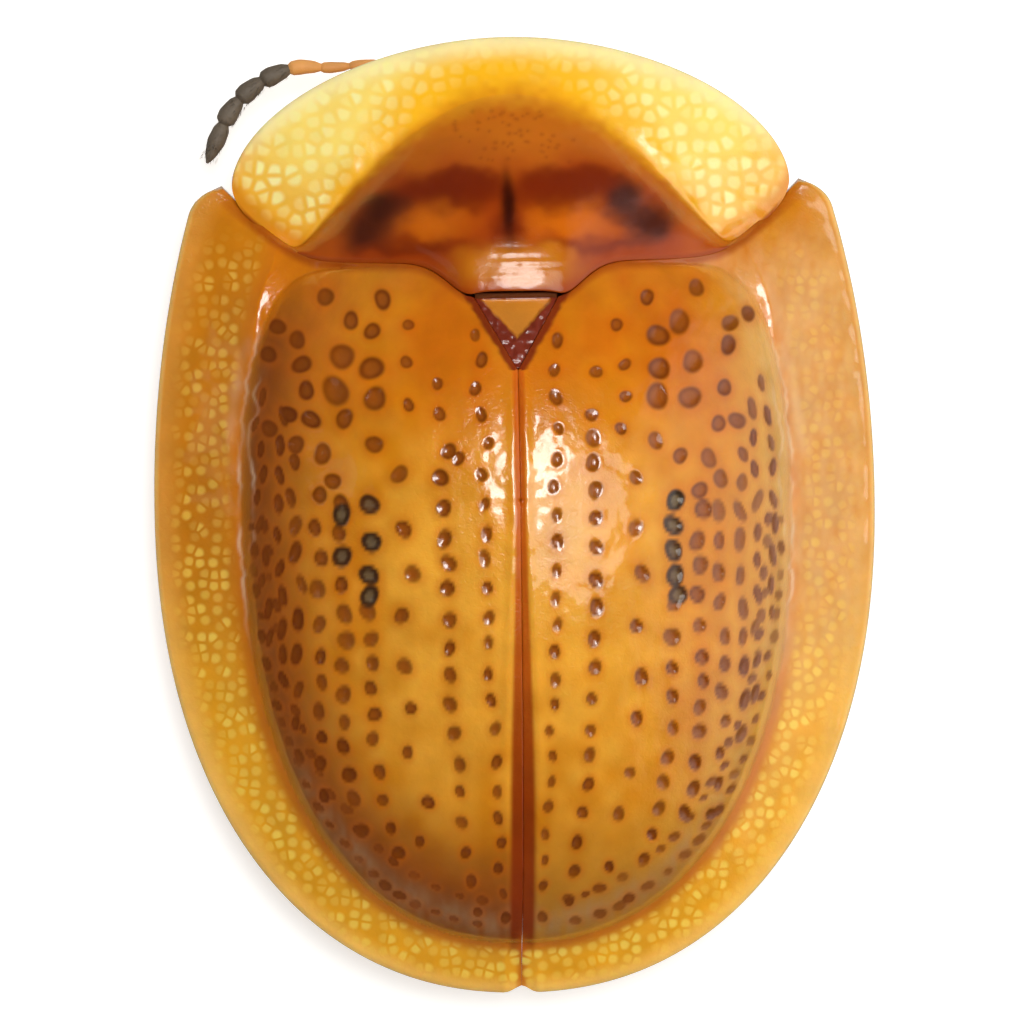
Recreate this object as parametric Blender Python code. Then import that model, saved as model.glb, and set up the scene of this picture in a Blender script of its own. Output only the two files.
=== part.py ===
"""A tortoise beetle at life size, standing with its legs drawn in under its shell.

Metres, +Z up. The floor is at Z = 0 and the origin lies on it, under the middle of the
shell. The head points to -Y, so the beetle's left side is at +X, and the left feeler
reaches out past the front of the shell.
"""

import math

import bmesh
import bpy
import numpy as np
from mathutils import Vector

MM = 0.001

# Driving dimensions of the whole shell, seen from above
BODY_LENGTH = 7.00 * MM
BODY_WIDTH = 5.28 * MM
BODY_HEIGHT = 2.67 * MM
SEAM = 0.05 * MM  # the gap between neighbours: the whole animal is only 7 mm long

# Plan of the wing cases
FRONT_Y = -BODY_LENGTH / 2
TAIL_Y = BODY_LENGTH / 2
HALF_WIDTH = BODY_WIDTH / 2
WIDEST_Y = -0.11 * MM
FRONT_TAPER = 4.73 * MM  # half length of the ellipse that the front half of the side follows
REAR_POWER = 2.2  # of the superellipse that the side follows behind the widest place
SHOULDER_Y = -2.42 * MM
SHOULDER_ROUND = 0.14 * MM
BASE_Y = -1.82 * MM  # where the wing cases meet the neck shield
SHOULDER_SLOPE = 0.43  # how steeply the base line runs forward to the shoulder
SHOULDER_BEND_X = 1.53 * MM
SHOULDER_BEND = 0.20 * MM
SCUTELLUM_HALF = 0.30 * MM
SCUTELLUM_BASE_Y = -1.57 * MM
SCUTELLUM_TIP_Y = -1.06 * MM
SCUTELLUM_DIP = 0.25 * MM  # width of the bend in the base line beside the scutellum

# Plan of the dome on the wing cases, inside their flat border
DOME_SHARE = 0.757  # of the half width, at the sides
TAIL_DOME_SHARE = 0.895  # the same, along the middle line to the tail
DOME_FRONT_HALF = 1.25 * MM
DOME_FRONT_LENGTH = 1.70 * MM
DOME_FRONT_POWER = 3.2
BORDER_FOOT_LENGTH = 2.90 * MM  # in front, the border starts at a longer ellipse than the dome's corner
BORDER_FOOT_SOFT = 0.16 * MM
BORDER_FOOT_START = 0.90 * MM
BORDER_FOOT_END = 1.60 * MM

# Plan of the neck shield
SHIELD_HALF = 2.04 * MM
SHIELD_WIDEST_Y = -2.44 * MM
SHIELD_REACH = SHIELD_WIDEST_Y - FRONT_Y
SHIELD_FRONT_POWERS = (1.9, 0.57)
SHIELD_REAR_POWER = 36
HOOD_HALF = 1.60 * MM  # the raised middle of the shield
HOOD_BASE_Y = -1.88 * MM
HOOD_REACH = 1.19 * MM
HOOD_CORNER = 0.12 * MM  # rounding where the hood runs out at the shield's rear corners

# Heights above the floor
RIM_Z = 0.62 * MM  # top of the shell's outer edge
FOLD_Z = 1.12 * MM  # foot of the dome at the sides, where the flat border begins
TAIL_FOLD_Z = 0.95 * MM
SHIELD_RIM_Z = 0.72 * MM
SHIELD_RISE = 0.45 * MM
SHOULDER_DROP = 0.58 * MM  # the back falls this far from its top to the scutellum
DROP_LENGTH = 1.50 * MM
BELLY_Z = 0.60 * MM
BELLY_RISE = 0.18 * MM  # from the middle line to the sides
BELLY_HALF = 1.70 * MM
TAIL_RISE = 0.14 * MM
TAIL_RISE_Y = 1.20 * MM
TAIL_RISE_LENGTH = 1.80 * MM

# Roundness of the dome, the border, the base, the dish and the hood, as powers
DOME_POWERS = (2.2, 0.75)
BORDER_POWER = 1.5
BASE_POWERS = (2.4, 2.5)
DISH_POWER = 1.6
HOOD_POWERS = (2.2, 1.25)
BASE_HALF = 2.45 * MM
BASE_BLEND = 0.85 * MM  # behind the base line, the base's height turns into the dome's
BASE_RISE_POWER = 0.65

# Wall of the shell
WALL = 0.45 * MM
RIM_WALL = 0.16 * MM

# Body under the shell
BODY_FRONT_Y = -2.62 * MM
THORAX_Y = -1.70 * MM
WAIST_Y = 0.45 * MM
ABDOMEN_END_Y = 2.92 * MM
COLLAR_HALF = 0.72 * MM
COLLAR_FLARE = 0.40 * MM
CHEST_HALF = 1.22 * MM
CHEST_FLARE = 0.55 * MM
ABDOMEN_HALF = 1.62 * MM
ABDOMEN_END_HALF = 0.06 * MM
ABDOMEN_POWER = 2.2
ABDOMEN_PLATES = 5
PLATE_GROOVE = 0.03 * MM
LEAST_BODY = 0.10 * MM

# Limbs
FEMUR_WIDTH = 0.50 * MM
TIBIA_WIDTH = 0.44 * MM
TARSUS_WIDTH = 0.46 * MM
TARSUS_HEIGHT = 0.20 * MM
CLAW_LENGTH = 0.16 * MM
FEELER_WIDTH = 0.45 * MM

# Head
HEAD_CENTRE = (0.0, -2.84 * MM, 0.60 * MM)
HEAD_RADII = (0.50 * MM, 0.34 * MM, 0.30 * MM)
EYE_RADII = (0.16 * MM, 0.19 * MM, 0.24 * MM)

PIT_DEPTH = 0.03 * MM

COLOURS = {
    "amber_shell": ((0.62, 0.25, 0.025), 0.25),
    "yellow_border": ((0.80, 0.48, 0.06), 0.30),
    "brown_belly": ((0.20, 0.07, 0.02), 0.40),
    "amber_leg": ((0.60, 0.28, 0.06), 0.35),
    "dark_eye": ((0.02, 0.015, 0.012), 0.15),
    "feeler": ((0.30, 0.16, 0.07), 0.50),
}


def clear_scene():
    """Removes whatever the scene starts with."""
    for obj in list(bpy.data.objects):
        bpy.data.objects.remove(obj)


def material(name):
    """The Principled material of that name, made once."""
    found = bpy.data.materials.get(name)
    if found:
        return found
    colour, roughness = COLOURS[name]
    made = bpy.data.materials.new(name)
    made.use_nodes = True
    shader = made.node_tree.nodes["Principled BSDF"]
    shader.inputs["Base Color"].default_value = (*colour, 1.0)
    shader.inputs["Roughness"].default_value = roughness
    shader.inputs["Metallic"].default_value = 0.0
    made.diffuse_color = (*colour, 1.0)
    return made


# The shell's outline and height, as functions of the place seen from above


def side_of_shell(y):
    """Half width of the wing cases at y: an ellipse in front of the widest place, fuller behind it."""
    ahead = np.clip((WIDEST_Y - y) / FRONT_TAPER, 0, 1)
    behind = np.clip((y - WIDEST_Y) / (TAIL_Y - WIDEST_Y), 0, 1)
    half = HALF_WIDTH * np.sqrt(1 - ahead**2) * (1 - behind**REAR_POWER) ** (1 / REAR_POWER)
    into_corner = np.clip(SHOULDER_Y + SHOULDER_ROUND - y, 0, SHOULDER_ROUND)
    return half - (SHOULDER_ROUND - np.sqrt(SHOULDER_ROUND**2 - into_corner**2))


def base_line(x):
    """y of the front edge of the wing cases: level, dipping at the scutellum, forward at the shoulder."""
    x = np.maximum(np.abs(x), SCUTELLUM_HALF)
    dip = (SCUTELLUM_BASE_Y - BASE_Y) * np.exp(-(((x - SCUTELLUM_HALF) / SCUTELLUM_DIP) ** 2))
    out = x - SHOULDER_BEND_X
    return BASE_Y + dip - SHOULDER_SLOPE * (out + np.hypot(out, SHOULDER_BEND))


def shield_front(x):
    """y of the neck shield's front edge, half an ellipse with slightly flattened sides."""
    inner, outer = SHIELD_FRONT_POWERS
    share = np.clip(np.abs(x) / SHIELD_HALF, 0, 1)
    return SHIELD_WIDEST_Y - SHIELD_REACH * (1 - share**inner) ** outer


def shield_rear(x):
    """y of the neck shield's rear edge, which follows the wing cases and rounds off at the sides."""
    share = np.clip(np.abs(x) / SHIELD_HALF, 0, 1)
    follow = base_line(x) - SEAM - SHIELD_WIDEST_Y
    return SHIELD_WIDEST_Y + follow * np.sqrt(1 - share**SHIELD_REAR_POWER)


def dome_side(y):
    """Half width of the raised dome, which narrows to the shoulder bump in front."""
    across = DOME_SHARE * side_of_shell(np.maximum(y, SHOULDER_Y + SHOULDER_ROUND))
    share = np.clip((WIDEST_Y - y) / DOME_FRONT_LENGTH, 0, 1)
    rounding = (1 - share**DOME_FRONT_POWER) ** (1 / DOME_FRONT_POWER)
    return DOME_FRONT_HALF + (across - DOME_FRONT_HALF) * rounding


def border_foot(y, dome):
    """Where the border starts: the dome's edge, carried on past its corner along a longer ellipse."""
    forward = np.clip((WIDEST_Y - y) / BORDER_FOOT_LENGTH, 0, 1)
    wider = DOME_FRONT_HALF + (DOME_SHARE * side_of_shell(y) - DOME_FRONT_HALF) * np.sqrt(1 - forward**2)
    near = np.clip((WIDEST_Y - y - BORDER_FOOT_START) / (BORDER_FOOT_END - BORDER_FOOT_START), 0, 1)
    soft = BORDER_FOOT_SOFT * near**2 * (3 - 2 * near)
    return (dome + wider + np.hypot(dome - wider, soft)) / 2


def crown_z(y):
    """Height of the back along its ridge, falling in front of the widest place."""
    forward = np.clip((WIDEST_Y - y) / DROP_LENGTH, 0, 2)
    return BODY_HEIGHT - SHOULDER_DROP * forward**2


def base_z(x, y):
    """Height across the base, a bell that the neck shield and the wing cases share."""
    inner, outer = BASE_POWERS
    share = np.clip(np.abs(x) / BASE_HALF, 0, 1)
    return RIM_Z + (crown_z(y) - RIM_Z) * (1 - share**inner) ** outer


def wing_case_z(x, y):
    """Height of the wing cases' outer face: a dome, a sloping border outside it and the bell in front."""
    x = np.abs(x)
    behind = y > WIDEST_Y
    along = (y - WIDEST_Y) / (TAIL_Y - WIDEST_Y)
    out_behind = ((x / HALF_WIDTH) ** REAR_POWER + np.maximum(along, 0) ** REAR_POWER) ** (1 / REAR_POWER)
    turn = np.clip(along / np.maximum(out_behind, 1e-9), 0, 1) ** 2
    fold_behind = DOME_SHARE + (TAIL_DOME_SHARE - DOME_SHARE) * turn
    side = np.maximum(side_of_shell(y), 1e-6)
    dome = np.maximum(dome_side(y), 1e-6)
    foot = border_foot(y, dome)
    share = np.where(behind, out_behind / fold_behind, x / dome)
    border = np.where(
        behind,
        (out_behind - fold_behind) / (1 - fold_behind),
        (x - foot) / np.maximum(side - foot, 1e-6),
    )
    border = np.clip(border, 0, 1)
    fold = np.where(behind, FOLD_Z + (TAIL_FOLD_Z - FOLD_Z) * turn, FOLD_Z)
    inner, outer = DOME_POWERS
    dome_z = fold + (crown_z(y) - fold) * (1 - np.clip(share, 0, 1) ** inner) ** outer
    border_z = RIM_Z + (fold - RIM_Z) * (1 - border) ** BORDER_POWER
    plain = np.where(share < 1, dome_z, border_z)
    from_base = np.clip((y - base_line(x)) / BASE_BLEND, 0, 1)
    blend = (1 - (1 - from_base) ** 2) ** BASE_RISE_POWER
    return plain * blend + base_z(x, y) * (1 - blend)


def hood_share(x, y):
    """Share of the way from the shield's rear edge to the front of the hood, a cosine arch."""
    rear = base_line(x) - SEAM
    angle = np.clip(np.abs(x) / HOOD_HALF, 0, 1) * math.pi / 2
    reach = rear - HOOD_BASE_Y + HOOD_REACH * np.cos(angle)
    reach = (reach + np.hypot(reach, HOOD_CORNER)) / 2
    return np.clip((rear - y) / reach, 0, 1)


def shield_z(x, y):
    """Height of the neck shield's outer face: a shallow dish with the hood raised on it."""
    across = np.abs(x) / SHIELD_HALF
    along = np.minimum(y - SHIELD_WIDEST_Y, 0) / SHIELD_REACH
    out = np.clip(np.hypot(across, along), 0, 1)
    dish = SHIELD_RIM_Z + SHIELD_RISE * (1 - out**DISH_POWER)
    at_rear = SHIELD_RIM_Z + SHIELD_RISE * (1 - np.clip(across, 0, 1) ** DISH_POWER)
    lift = np.maximum(base_z(x, base_line(x)) - at_rear, 0)
    inner, outer = HOOD_POWERS
    return dish + lift * (1 - hood_share(x, y) ** inner) ** outer


def wall_below(outer_z, rim_z):
    """Thickness of the shell, full on the dome and thinning down the border to the rim."""
    share = np.clip((outer_z - rim_z) / (FOLD_Z - rim_z), 0, 1)
    return RIM_WALL + (WALL - RIM_WALL) * share


def belly_z(x, y):
    """Height of the underside of the body: lowest along the middle, rising to the sides and tail."""
    tail = np.clip((y - TAIL_RISE_Y) / TAIL_RISE_LENGTH, 0, 1)
    return BELLY_Z + BELLY_RISE * (np.abs(x) / BELLY_HALF) ** 2 + TAIL_RISE * tail**2


# Meshes


def add_object(name, points, faces, finish):
    """A mesh object with merged corners, faces pointing out and smooth shading."""
    mesh = bpy.data.meshes.new(name)
    mesh.from_pydata([tuple(p) for p in points], [], faces)
    shape = bmesh.new()
    shape.from_mesh(mesh)
    bmesh.ops.remove_doubles(shape, verts=shape.verts, dist=2e-6)
    bmesh.ops.dissolve_degenerate(shape, edges=shape.edges, dist=1e-6)
    bmesh.ops.triangulate(shape, faces=shape.faces)
    bmesh.ops.recalc_face_normals(shape, faces=shape.faces)
    shape.to_mesh(mesh)
    shape.free()
    mesh.materials.append(material(finish))
    mesh.shade_smooth()
    mesh.set_sharp_from_angle(angle=math.radians(40))
    obj = bpy.data.objects.new(name, mesh)
    bpy.context.collection.objects.link(obj)
    return obj


def rim_of(rows, columns):
    """The places round the edge of a grid, in order."""
    last_row, last = rows - 1, columns - 1
    return (
        [(0, c) for c in range(last)]
        + [(r, last) for r in range(last_row)]
        + [(last_row, c) for c in range(last, 0, -1)]
        + [(r, 0) for r in range(last_row, 0, -1)]
    )


def slab(name, upper, lower, finish):
    """A closed plate between two grids of points. The lower grid has half the upper one's cells."""
    rows, columns = upper.shape[:2]
    low_rows, low_columns = lower.shape[:2]
    first_low = rows * columns
    points = np.vstack([upper.reshape(-1, 3), lower.reshape(-1, 3)])

    def top(place):
        return place[0] * columns + place[1]

    def bottom(place):
        return first_low + place[0] * low_columns + place[1]

    faces = []
    for r in range(rows - 1):
        for c in range(columns - 1):
            faces.append([top((r, c)), top((r, c + 1)), top((r + 1, c + 1)), top((r + 1, c))])
    for r in range(low_rows - 1):
        for c in range(low_columns - 1):
            corners = [(r, c), (r + 1, c), (r + 1, c + 1), (r, c + 1)]
            faces.append([bottom(place) for place in corners])
    edge = rim_of(rows, columns)
    low_edge = rim_of(low_rows, low_columns)
    for k, place in enumerate(low_edge):
        here, after = bottom(place), bottom(low_edge[(k + 1) % len(low_edge)])
        a, b, c = (top(edge[(2 * k + step) % len(edge)]) for step in range(3))
        faces += [[a, here, b], [b, here, after], [b, after, c]]
    return add_object(name, points, faces, finish)


def ellipsoid(name, centre, radii, finish, segments=16, rings=10, grow=0.0):
    """A closed ball stretched to three radii, each made larger by grow."""
    shape = bmesh.new()
    bmesh.ops.create_uvsphere(shape, u_segments=segments, v_segments=rings, radius=1.0)
    bmesh.ops.scale(shape, vec=Vector([r + grow for r in radii]), verts=shape.verts)
    bmesh.ops.translate(shape, vec=Vector(centre), verts=shape.verts)
    points = [v.co.copy() for v in shape.verts]
    faces = [[v.index for v in f.verts] for f in shape.faces]
    shape.free()
    return add_object(name, points, faces, finish)


def limb(name, path, widths, heights, finish, sides=8, floor=None):
    """A closed tube along a path, with its own width and height at each point of it.

    The rings stand square to the path, and with a floor no point of them lies below it.
    """
    path = np.array(path, float)
    ahead = np.gradient(path, axis=0)
    ahead /= np.linalg.norm(ahead, axis=1)[:, None]
    across = np.cross(ahead, (0.0, 0.0, 1.0))
    across /= np.linalg.norm(across, axis=1)[:, None]
    up = np.cross(across, ahead)
    turn = np.linspace(0, 2 * math.pi, sides, endpoint=False)
    rings = (
        path[:, None]
        + np.cos(turn)[None, :, None] * across[:, None] * np.array(widths)[:, None, None] / 2
        + np.sin(turn)[None, :, None] * up[:, None] * np.array(heights)[:, None, None] / 2
    )
    points = np.vstack([rings.reshape(-1, 3), path[:1], path[-1:]])
    if floor is not None:
        points[:, 2] = np.maximum(points[:, 2], floor)
    faces = []
    count = len(path)
    for r in range(count - 1):
        for s in range(sides):
            after = (s + 1) % sides
            faces.append(
                [r * sides + s, r * sides + after, (r + 1) * sides + after, (r + 1) * sides + s]
            )
    start, end = count * sides, count * sides + 1
    for s in range(sides):
        after = (s + 1) % sides
        faces.append([start, after, s])
        faces.append([end, (count - 1) * sides + s, (count - 1) * sides + after])
    return add_object(name, points, faces, finish)


def apply_modifiers(obj):
    """Replaces the object's mesh by what its modifiers make of it."""
    graph = bpy.context.evaluated_depsgraph_get()
    made = bpy.data.meshes.new_from_object(obj.evaluated_get(graph))
    obj.modifiers.clear()
    obj.data = made


def keep_largest(obj):
    """Drops every closed surface of the object but the one that fills the largest box."""
    shape = bmesh.new()
    shape.from_mesh(obj.data)
    left = set(shape.verts)
    parts = []
    while left:
        seed = left.pop()
        part, queue = {seed}, [seed]
        while queue:
            for edge in queue.pop().link_edges:
                for vert in edge.verts:
                    if vert in left:
                        left.discard(vert)
                        part.add(vert)
                        queue.append(vert)
        parts.append(part)
    if len(parts) > 1:
        size = [np.prod(np.ptp([v.co[:] for v in part], axis=0) + 1e-9) for part in parts]
        largest = parts[int(np.argmax(size))]
        bmesh.ops.delete(shape, geom=[v for v in shape.verts if v not in largest], context="VERTS")
    bmesh.ops.triangulate(shape, faces=shape.faces)
    shape.to_mesh(obj.data)
    shape.free()


def combine(obj, others, operation):
    """Joins the others to the object, or cuts them from it, and removes them."""
    group = bpy.data.collections.new(f"{obj.name}_{operation.lower()}")
    for other in others:
        bpy.context.collection.objects.unlink(other)
        group.objects.link(other)
    bpy.context.scene.collection.children.link(group)
    bpy.context.view_layer.update()
    change = obj.modifiers.new(operation.title(), "BOOLEAN")
    change.operation = operation
    change.operand_type = "COLLECTION"
    change.collection = group
    change.solver = "EXACT"
    apply_modifiers(obj)
    for other in others:
        bpy.data.objects.remove(other)
    bpy.data.collections.remove(group)
    keep_largest(obj)
    obj.data.shade_smooth()
    obj.data.set_sharp_from_angle(angle=math.radians(40))
    return obj


# The shell


def wing_case_plan(rows, columns):
    """Places on one wing case seen from above, from the seam outwards and from base to tail.

    In front of the widest place they are a Coons patch between the scutellum's side, the
    base line and the outer edge. Behind it they narrow evenly to the tail.
    """
    front_rows = round(rows * 0.42)
    v = np.linspace(0, 1, columns)
    u = np.linspace(0, 1, front_rows)
    seam_x = SEAM / 2
    corner = np.array([SCUTELLUM_HALF + SEAM, SCUTELLUM_BASE_Y])
    notch = np.array([seam_x, SCUTELLUM_TIP_Y + SEAM])
    turn = 0.38
    inner_x = np.where(u < turn, corner[0] + (notch[0] - corner[0]) * u / turn, seam_x)
    past = (u - turn) / (1 - turn)
    inner_y = np.where(
        u < turn, corner[1] + (notch[1] - corner[1]) * u / turn, notch[1] + (WIDEST_Y - notch[1]) * past
    )
    outer_y = SHOULDER_Y + (WIDEST_Y - SHOULDER_Y) * u
    outer_x = side_of_shell(outer_y)
    base_x = corner[0] + (outer_x[0] - corner[0]) * v
    base_y = base_line(base_x)
    base_y += v**4 * (SHOULDER_Y - base_y[-1]) + (1 - v) ** 4 * (corner[1] - base_y[0])
    waist_x = seam_x + (HALF_WIDTH - seam_x) * v
    plan = []
    for inner, outer, base, waist in (
        (inner_x, outer_x, base_x, waist_x),
        (inner_y, outer_y, base_y, np.full(columns, WIDEST_Y)),
    ):
        ruled = inner[:, None] * (1 - v) + outer[:, None] * v
        across = base[None, :] * (1 - u)[:, None] + waist[None, :] * u[:, None]
        near = base[0] * (1 - u) + waist[0] * u
        far = base[-1] * (1 - u) + waist[-1] * u
        plan.append(ruled + across - (near[:, None] * (1 - v) + far[:, None] * v))
    turn = np.linspace(0, math.pi / 2, rows - front_rows + 1)[1:]
    back_y = WIDEST_Y + (TAIL_Y - WIDEST_Y) * np.sin(turn)
    back_x = seam_x + (side_of_shell(back_y) - seam_x).clip(0)[:, None] * v
    x = np.vstack([plan[0], back_x])
    y = np.vstack([plan[1], np.repeat(back_y[:, None], columns, axis=1)])
    return x, y


def wing_case(name, side):
    """One wing case, with rows of pits on its dome as single sunk corners of its mesh."""
    rows, columns = 45, 21
    x, y = wing_case_plan(rows, columns)
    z = wing_case_z(x, y)
    row, column = np.meshgrid(np.arange(rows), np.arange(columns), indexing="ij")
    in_row = (column % 2 == 1) & ((row + column // 2 % 2) % 2 == 1)
    on_dome = (column <= 14) & (row > 2) & (row < rows - 7)
    outer = z - PIT_DEPTH * (in_row & on_dome)
    upper = np.dstack([side * x, y, outer])
    few = np.s_[::2, ::2]
    lower = np.dstack([side * x[few], y[few], (z - wall_below(z, RIM_Z))[few]])
    return slab(name, upper, lower, "amber_shell")


def neck_shield():
    """The wide plate over the head and fore body, drawn as columns from its front to its rear edge."""
    rows, columns = 13, 41
    across = np.sin(np.linspace(-math.pi / 2, math.pi / 2, columns)) * SHIELD_HALF
    down = np.linspace(0, 1, rows)
    front, rear = shield_front(across), shield_rear(across)
    y = front[None, :] + (rear - front)[None, :] * down[:, None]
    x = np.repeat(across[None, :], rows, axis=0)
    z = shield_z(x, y)
    upper = np.dstack([x, y, z])
    few = np.s_[::2, ::2]
    lower = np.dstack([x[few], y[few], (z - wall_below(z, SHIELD_RIM_Z))[few]])
    return slab("neck_shield", upper, lower, "yellow_border")


def scutellum():
    """The small triangle between the bases of the wing cases."""
    rows, columns = 5, 5
    down = np.linspace(0, 1, rows)[:, None]
    y = SCUTELLUM_BASE_Y + (SCUTELLUM_TIP_Y - SEAM - SCUTELLUM_BASE_Y) * down
    half = (SCUTELLUM_HALF - SEAM / 2) * (1 - 0.96 * down)
    x = half * np.linspace(-1, 1, columns)[None, :]
    y = np.repeat(y, columns, axis=1)
    z = wing_case_z(x, y) - 0.02 * MM
    few = np.s_[::2, ::2]
    upper = np.dstack([x, y, z])
    lower = np.dstack([x[few], y[few], (z - WALL)[few]])
    return slab("scutellum", upper, lower, "amber_shell")


# The body under the shell


def shell_inside(x, y):
    """Height of the shell's inner face."""
    over_wings = wing_case_z(x, y)
    over_shield = shield_z(x, y)
    under_wings = over_wings - wall_below(over_wings, RIM_Z)
    under_shield = over_shield - wall_below(over_shield, SHIELD_RIM_Z)
    ahead = y < base_line(x) - SEAM / 2
    near = np.abs(y - base_line(x)) < 0.25 * MM
    plain = np.where(ahead, under_shield, under_wings)
    return np.where(near, np.minimum(under_wings, under_shield), plain)


def room_under_shell(x, y):
    """The lowest that the shell's inner face comes within two seams of a place."""
    reach = 2.4 * SEAM
    around = [(0, 0)] + [(math.cos(turn), math.sin(turn)) for turn in np.arange(8) * math.pi / 4]
    return np.minimum.reduce([shell_inside(x + reach * a, y + reach * b) for a, b in around])


def shield_cutter():
    """A block that fills the neck shield's place and a seam round it, open to above."""
    rows, columns = 13, 41
    across = np.sin(np.linspace(-math.pi / 2, math.pi / 2, columns)) * SHIELD_HALF
    down = np.linspace(0, 1, rows)[:, None]
    front, rear = shield_front(across) - SEAM, shield_rear(across) + SEAM
    y = front + (rear - front) * down
    x = np.repeat(across[None, :], rows, axis=0) * (1 + SEAM / SHIELD_HALF)
    z = shield_z(x, y)
    inner = z - wall_below(z, SHIELD_RIM_Z) - 1.4 * SEAM
    few = np.s_[::2, ::2]
    upper = np.dstack([x, y, inner])
    lower = np.dstack([x[few], y[few], np.full_like(x[few], BODY_HEIGHT)])
    return slab("shield_room", upper, lower, "yellow_border")


def body_block(name, y_start, y_end, half_widths, grow=0.0, rows=9, columns=17, plates=0):
    """A stretch of the body, filled from its underside up to the shell's inner face."""
    down = np.linspace(0, 1, rows)
    y = y_start - grow + (y_end - y_start + 2 * grow) * down
    half = half_widths(down) + grow
    side = np.sin(np.linspace(-math.pi / 2, math.pi / 2, columns))
    x = half[:, None] * side[None, :]
    y = np.repeat(y[:, None], columns, axis=1)
    top = room_under_shell(x, y) - SEAM + grow
    groove = PLATE_GROOVE * np.abs(np.sin(math.pi * plates * down))[:, None]
    bottom = belly_z(x, y) - groove - grow
    few = np.s_[::2, ::2]
    upper = np.dstack([x, y, bottom])
    lower = np.dstack([x[few], y[few], np.maximum(top, bottom + LEAST_BODY)[few]])
    return slab(name, upper, lower, "brown_belly")


def fore_body(grow=0.0):
    """The block under the neck shield, which carries the head and front legs."""

    def half_widths(down):
        return COLLAR_HALF + COLLAR_FLARE * down**0.7

    return body_block("fore_body", BODY_FRONT_Y, THORAX_Y, half_widths, grow)


def hind_body(grow=0.0):
    """The block under the front of the wing cases, which carries the middle and hind legs."""

    def half_widths(down):
        return CHEST_HALF + CHEST_FLARE * np.sqrt(down)

    return body_block("hind_body", THORAX_Y + SEAM, WAIST_Y, half_widths, grow)


def abdomen():
    """The hind end of the body, with its plates across its underside."""

    def half_widths(down):
        return ABDOMEN_END_HALF + ABDOMEN_HALF * np.sqrt(1 - down**ABDOMEN_POWER)

    start = WAIST_Y + SEAM
    return body_block("abdomen", start, ABDOMEN_END_Y, half_widths, rows=21, plates=ABDOMEN_PLATES)


# Head, feelers and legs


def head(grow=0.0):
    """The head, tucked under the shield, with its face plate running down to the mouth."""
    skull = ellipsoid("head", HEAD_CENTRE, HEAD_RADII, "amber_leg", grow=grow)
    x, y, z = HEAD_CENTRE
    face = ellipsoid(
        "face",
        (x, y - 0.10 * MM, z - 0.24 * MM),
        (0.26 * MM, 0.18 * MM, 0.22 * MM),
        "amber_leg",
        segments=12,
        rings=8,
        grow=grow,
    )
    combine(skull, [face], "UNION")
    return skull


def eye(name, side):
    """One eye, a long oval on the side of the head."""
    x, y, z = HEAD_CENTRE
    place = (side * (x + HEAD_RADII[0] - 0.05 * MM), y, z + 0.05 * MM)
    ball = ellipsoid(name, place, EYE_RADII, "dark_eye", segments=14, rings=9)
    return combine(ball, [head(SEAM), shield_cutter()], "DIFFERENCE")


def jaws():
    """The pair of short jaws that close under the face plate."""
    x, y, z = HEAD_CENTRE
    pieces = []
    for side in (-1, 1):
        path = [
            (x + side * 0.20 * MM, y - 0.14 * MM, z - 0.38 * MM),
            (x + side * 0.14 * MM, y - 0.16 * MM, z - 0.48 * MM),
            (x - side * 0.04 * MM, y - 0.17 * MM, z - 0.53 * MM),
        ]
        width = [0.20 * MM, 0.17 * MM, 0.06 * MM]
        pieces.append(limb(f"jaw_{side}", path, width, width, "brown_belly"))
    pieces[0].name = "jaws"
    combine(pieces[0], pieces[1:], "UNION")
    return combine(pieces[0], [head(SEAM)], "DIFFERENCE")


def smooth_path(places, count):
    """Points along a smooth curve through the places, evenly spread by chord length."""
    places = np.array(places, float) * MM
    length = np.concatenate([[0], np.cumsum(np.linalg.norm(np.diff(places, axis=0), axis=1))])
    slope = np.gradient(places, length, axis=0)
    at = np.linspace(0, length[-1], count)
    found = np.clip(np.searchsorted(length, at, side="right") - 1, 0, len(length) - 2)
    span = (length[found + 1] - length[found])[:, None]
    t = ((at - length[found]) / span[:, 0])[:, None]
    a, b = places[found], places[found + 1]
    return (
        (2 * t**3 - 3 * t**2 + 1) * a
        + (t**3 - 2 * t**2 + t) * span * slope[found]
        + (3 * t**2 - 2 * t**3) * b
        + (t**3 - t**2) * span * slope[found + 1]
    )


FEELER_JOINTS = 11
LEFT_FEELER = [
    (0.14, -3.04, 0.48),
    (0.42, -3.26, 0.38),
    (0.85, -3.29, 0.33),
    (1.35, -3.27, 0.32),
    (1.68, -3.21, 0.32),
    (1.88, -3.12, 0.33),
    (2.04, -2.97, 0.34),
    (2.13, -2.78, 0.35),
    (2.19, -2.58, 0.36),
]
RIGHT_FEELER = [
    (-0.14, -3.04, 0.48),
    (-0.42, -3.26, 0.35),
    (-0.80, -3.22, 0.30),
    (-1.20, -3.06, 0.30),
    (-1.50, -2.88, 0.29),
    (-1.72, -2.66, 0.29),
]


def feeler(name, places):
    """One feeler of eleven joints, its last five swollen into a club, cut clear of the head."""
    rings_each = 3
    count = FEELER_JOINTS * rings_each + 1
    path = smooth_path(places, count)
    at = np.linspace(0, FEELER_JOINTS, count)
    bulge = 0.84 + 0.16 * np.sin(math.pi * (at % 1.0))
    club = np.clip((at - 5.5) / 1.5, 0, 1)
    width = FEELER_WIDTH * bulge * (0.86 + 0.18 * club)
    tip = np.clip((FEELER_JOINTS - at) / 1.0, 0, 1)
    width *= 0.25 + 0.75 * np.sqrt(tip)
    made = limb(name, path, width, 0.85 * width, "feeler")
    return combine(made, [head(SEAM), shield_cutter()], "DIFFERENCE")


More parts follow.
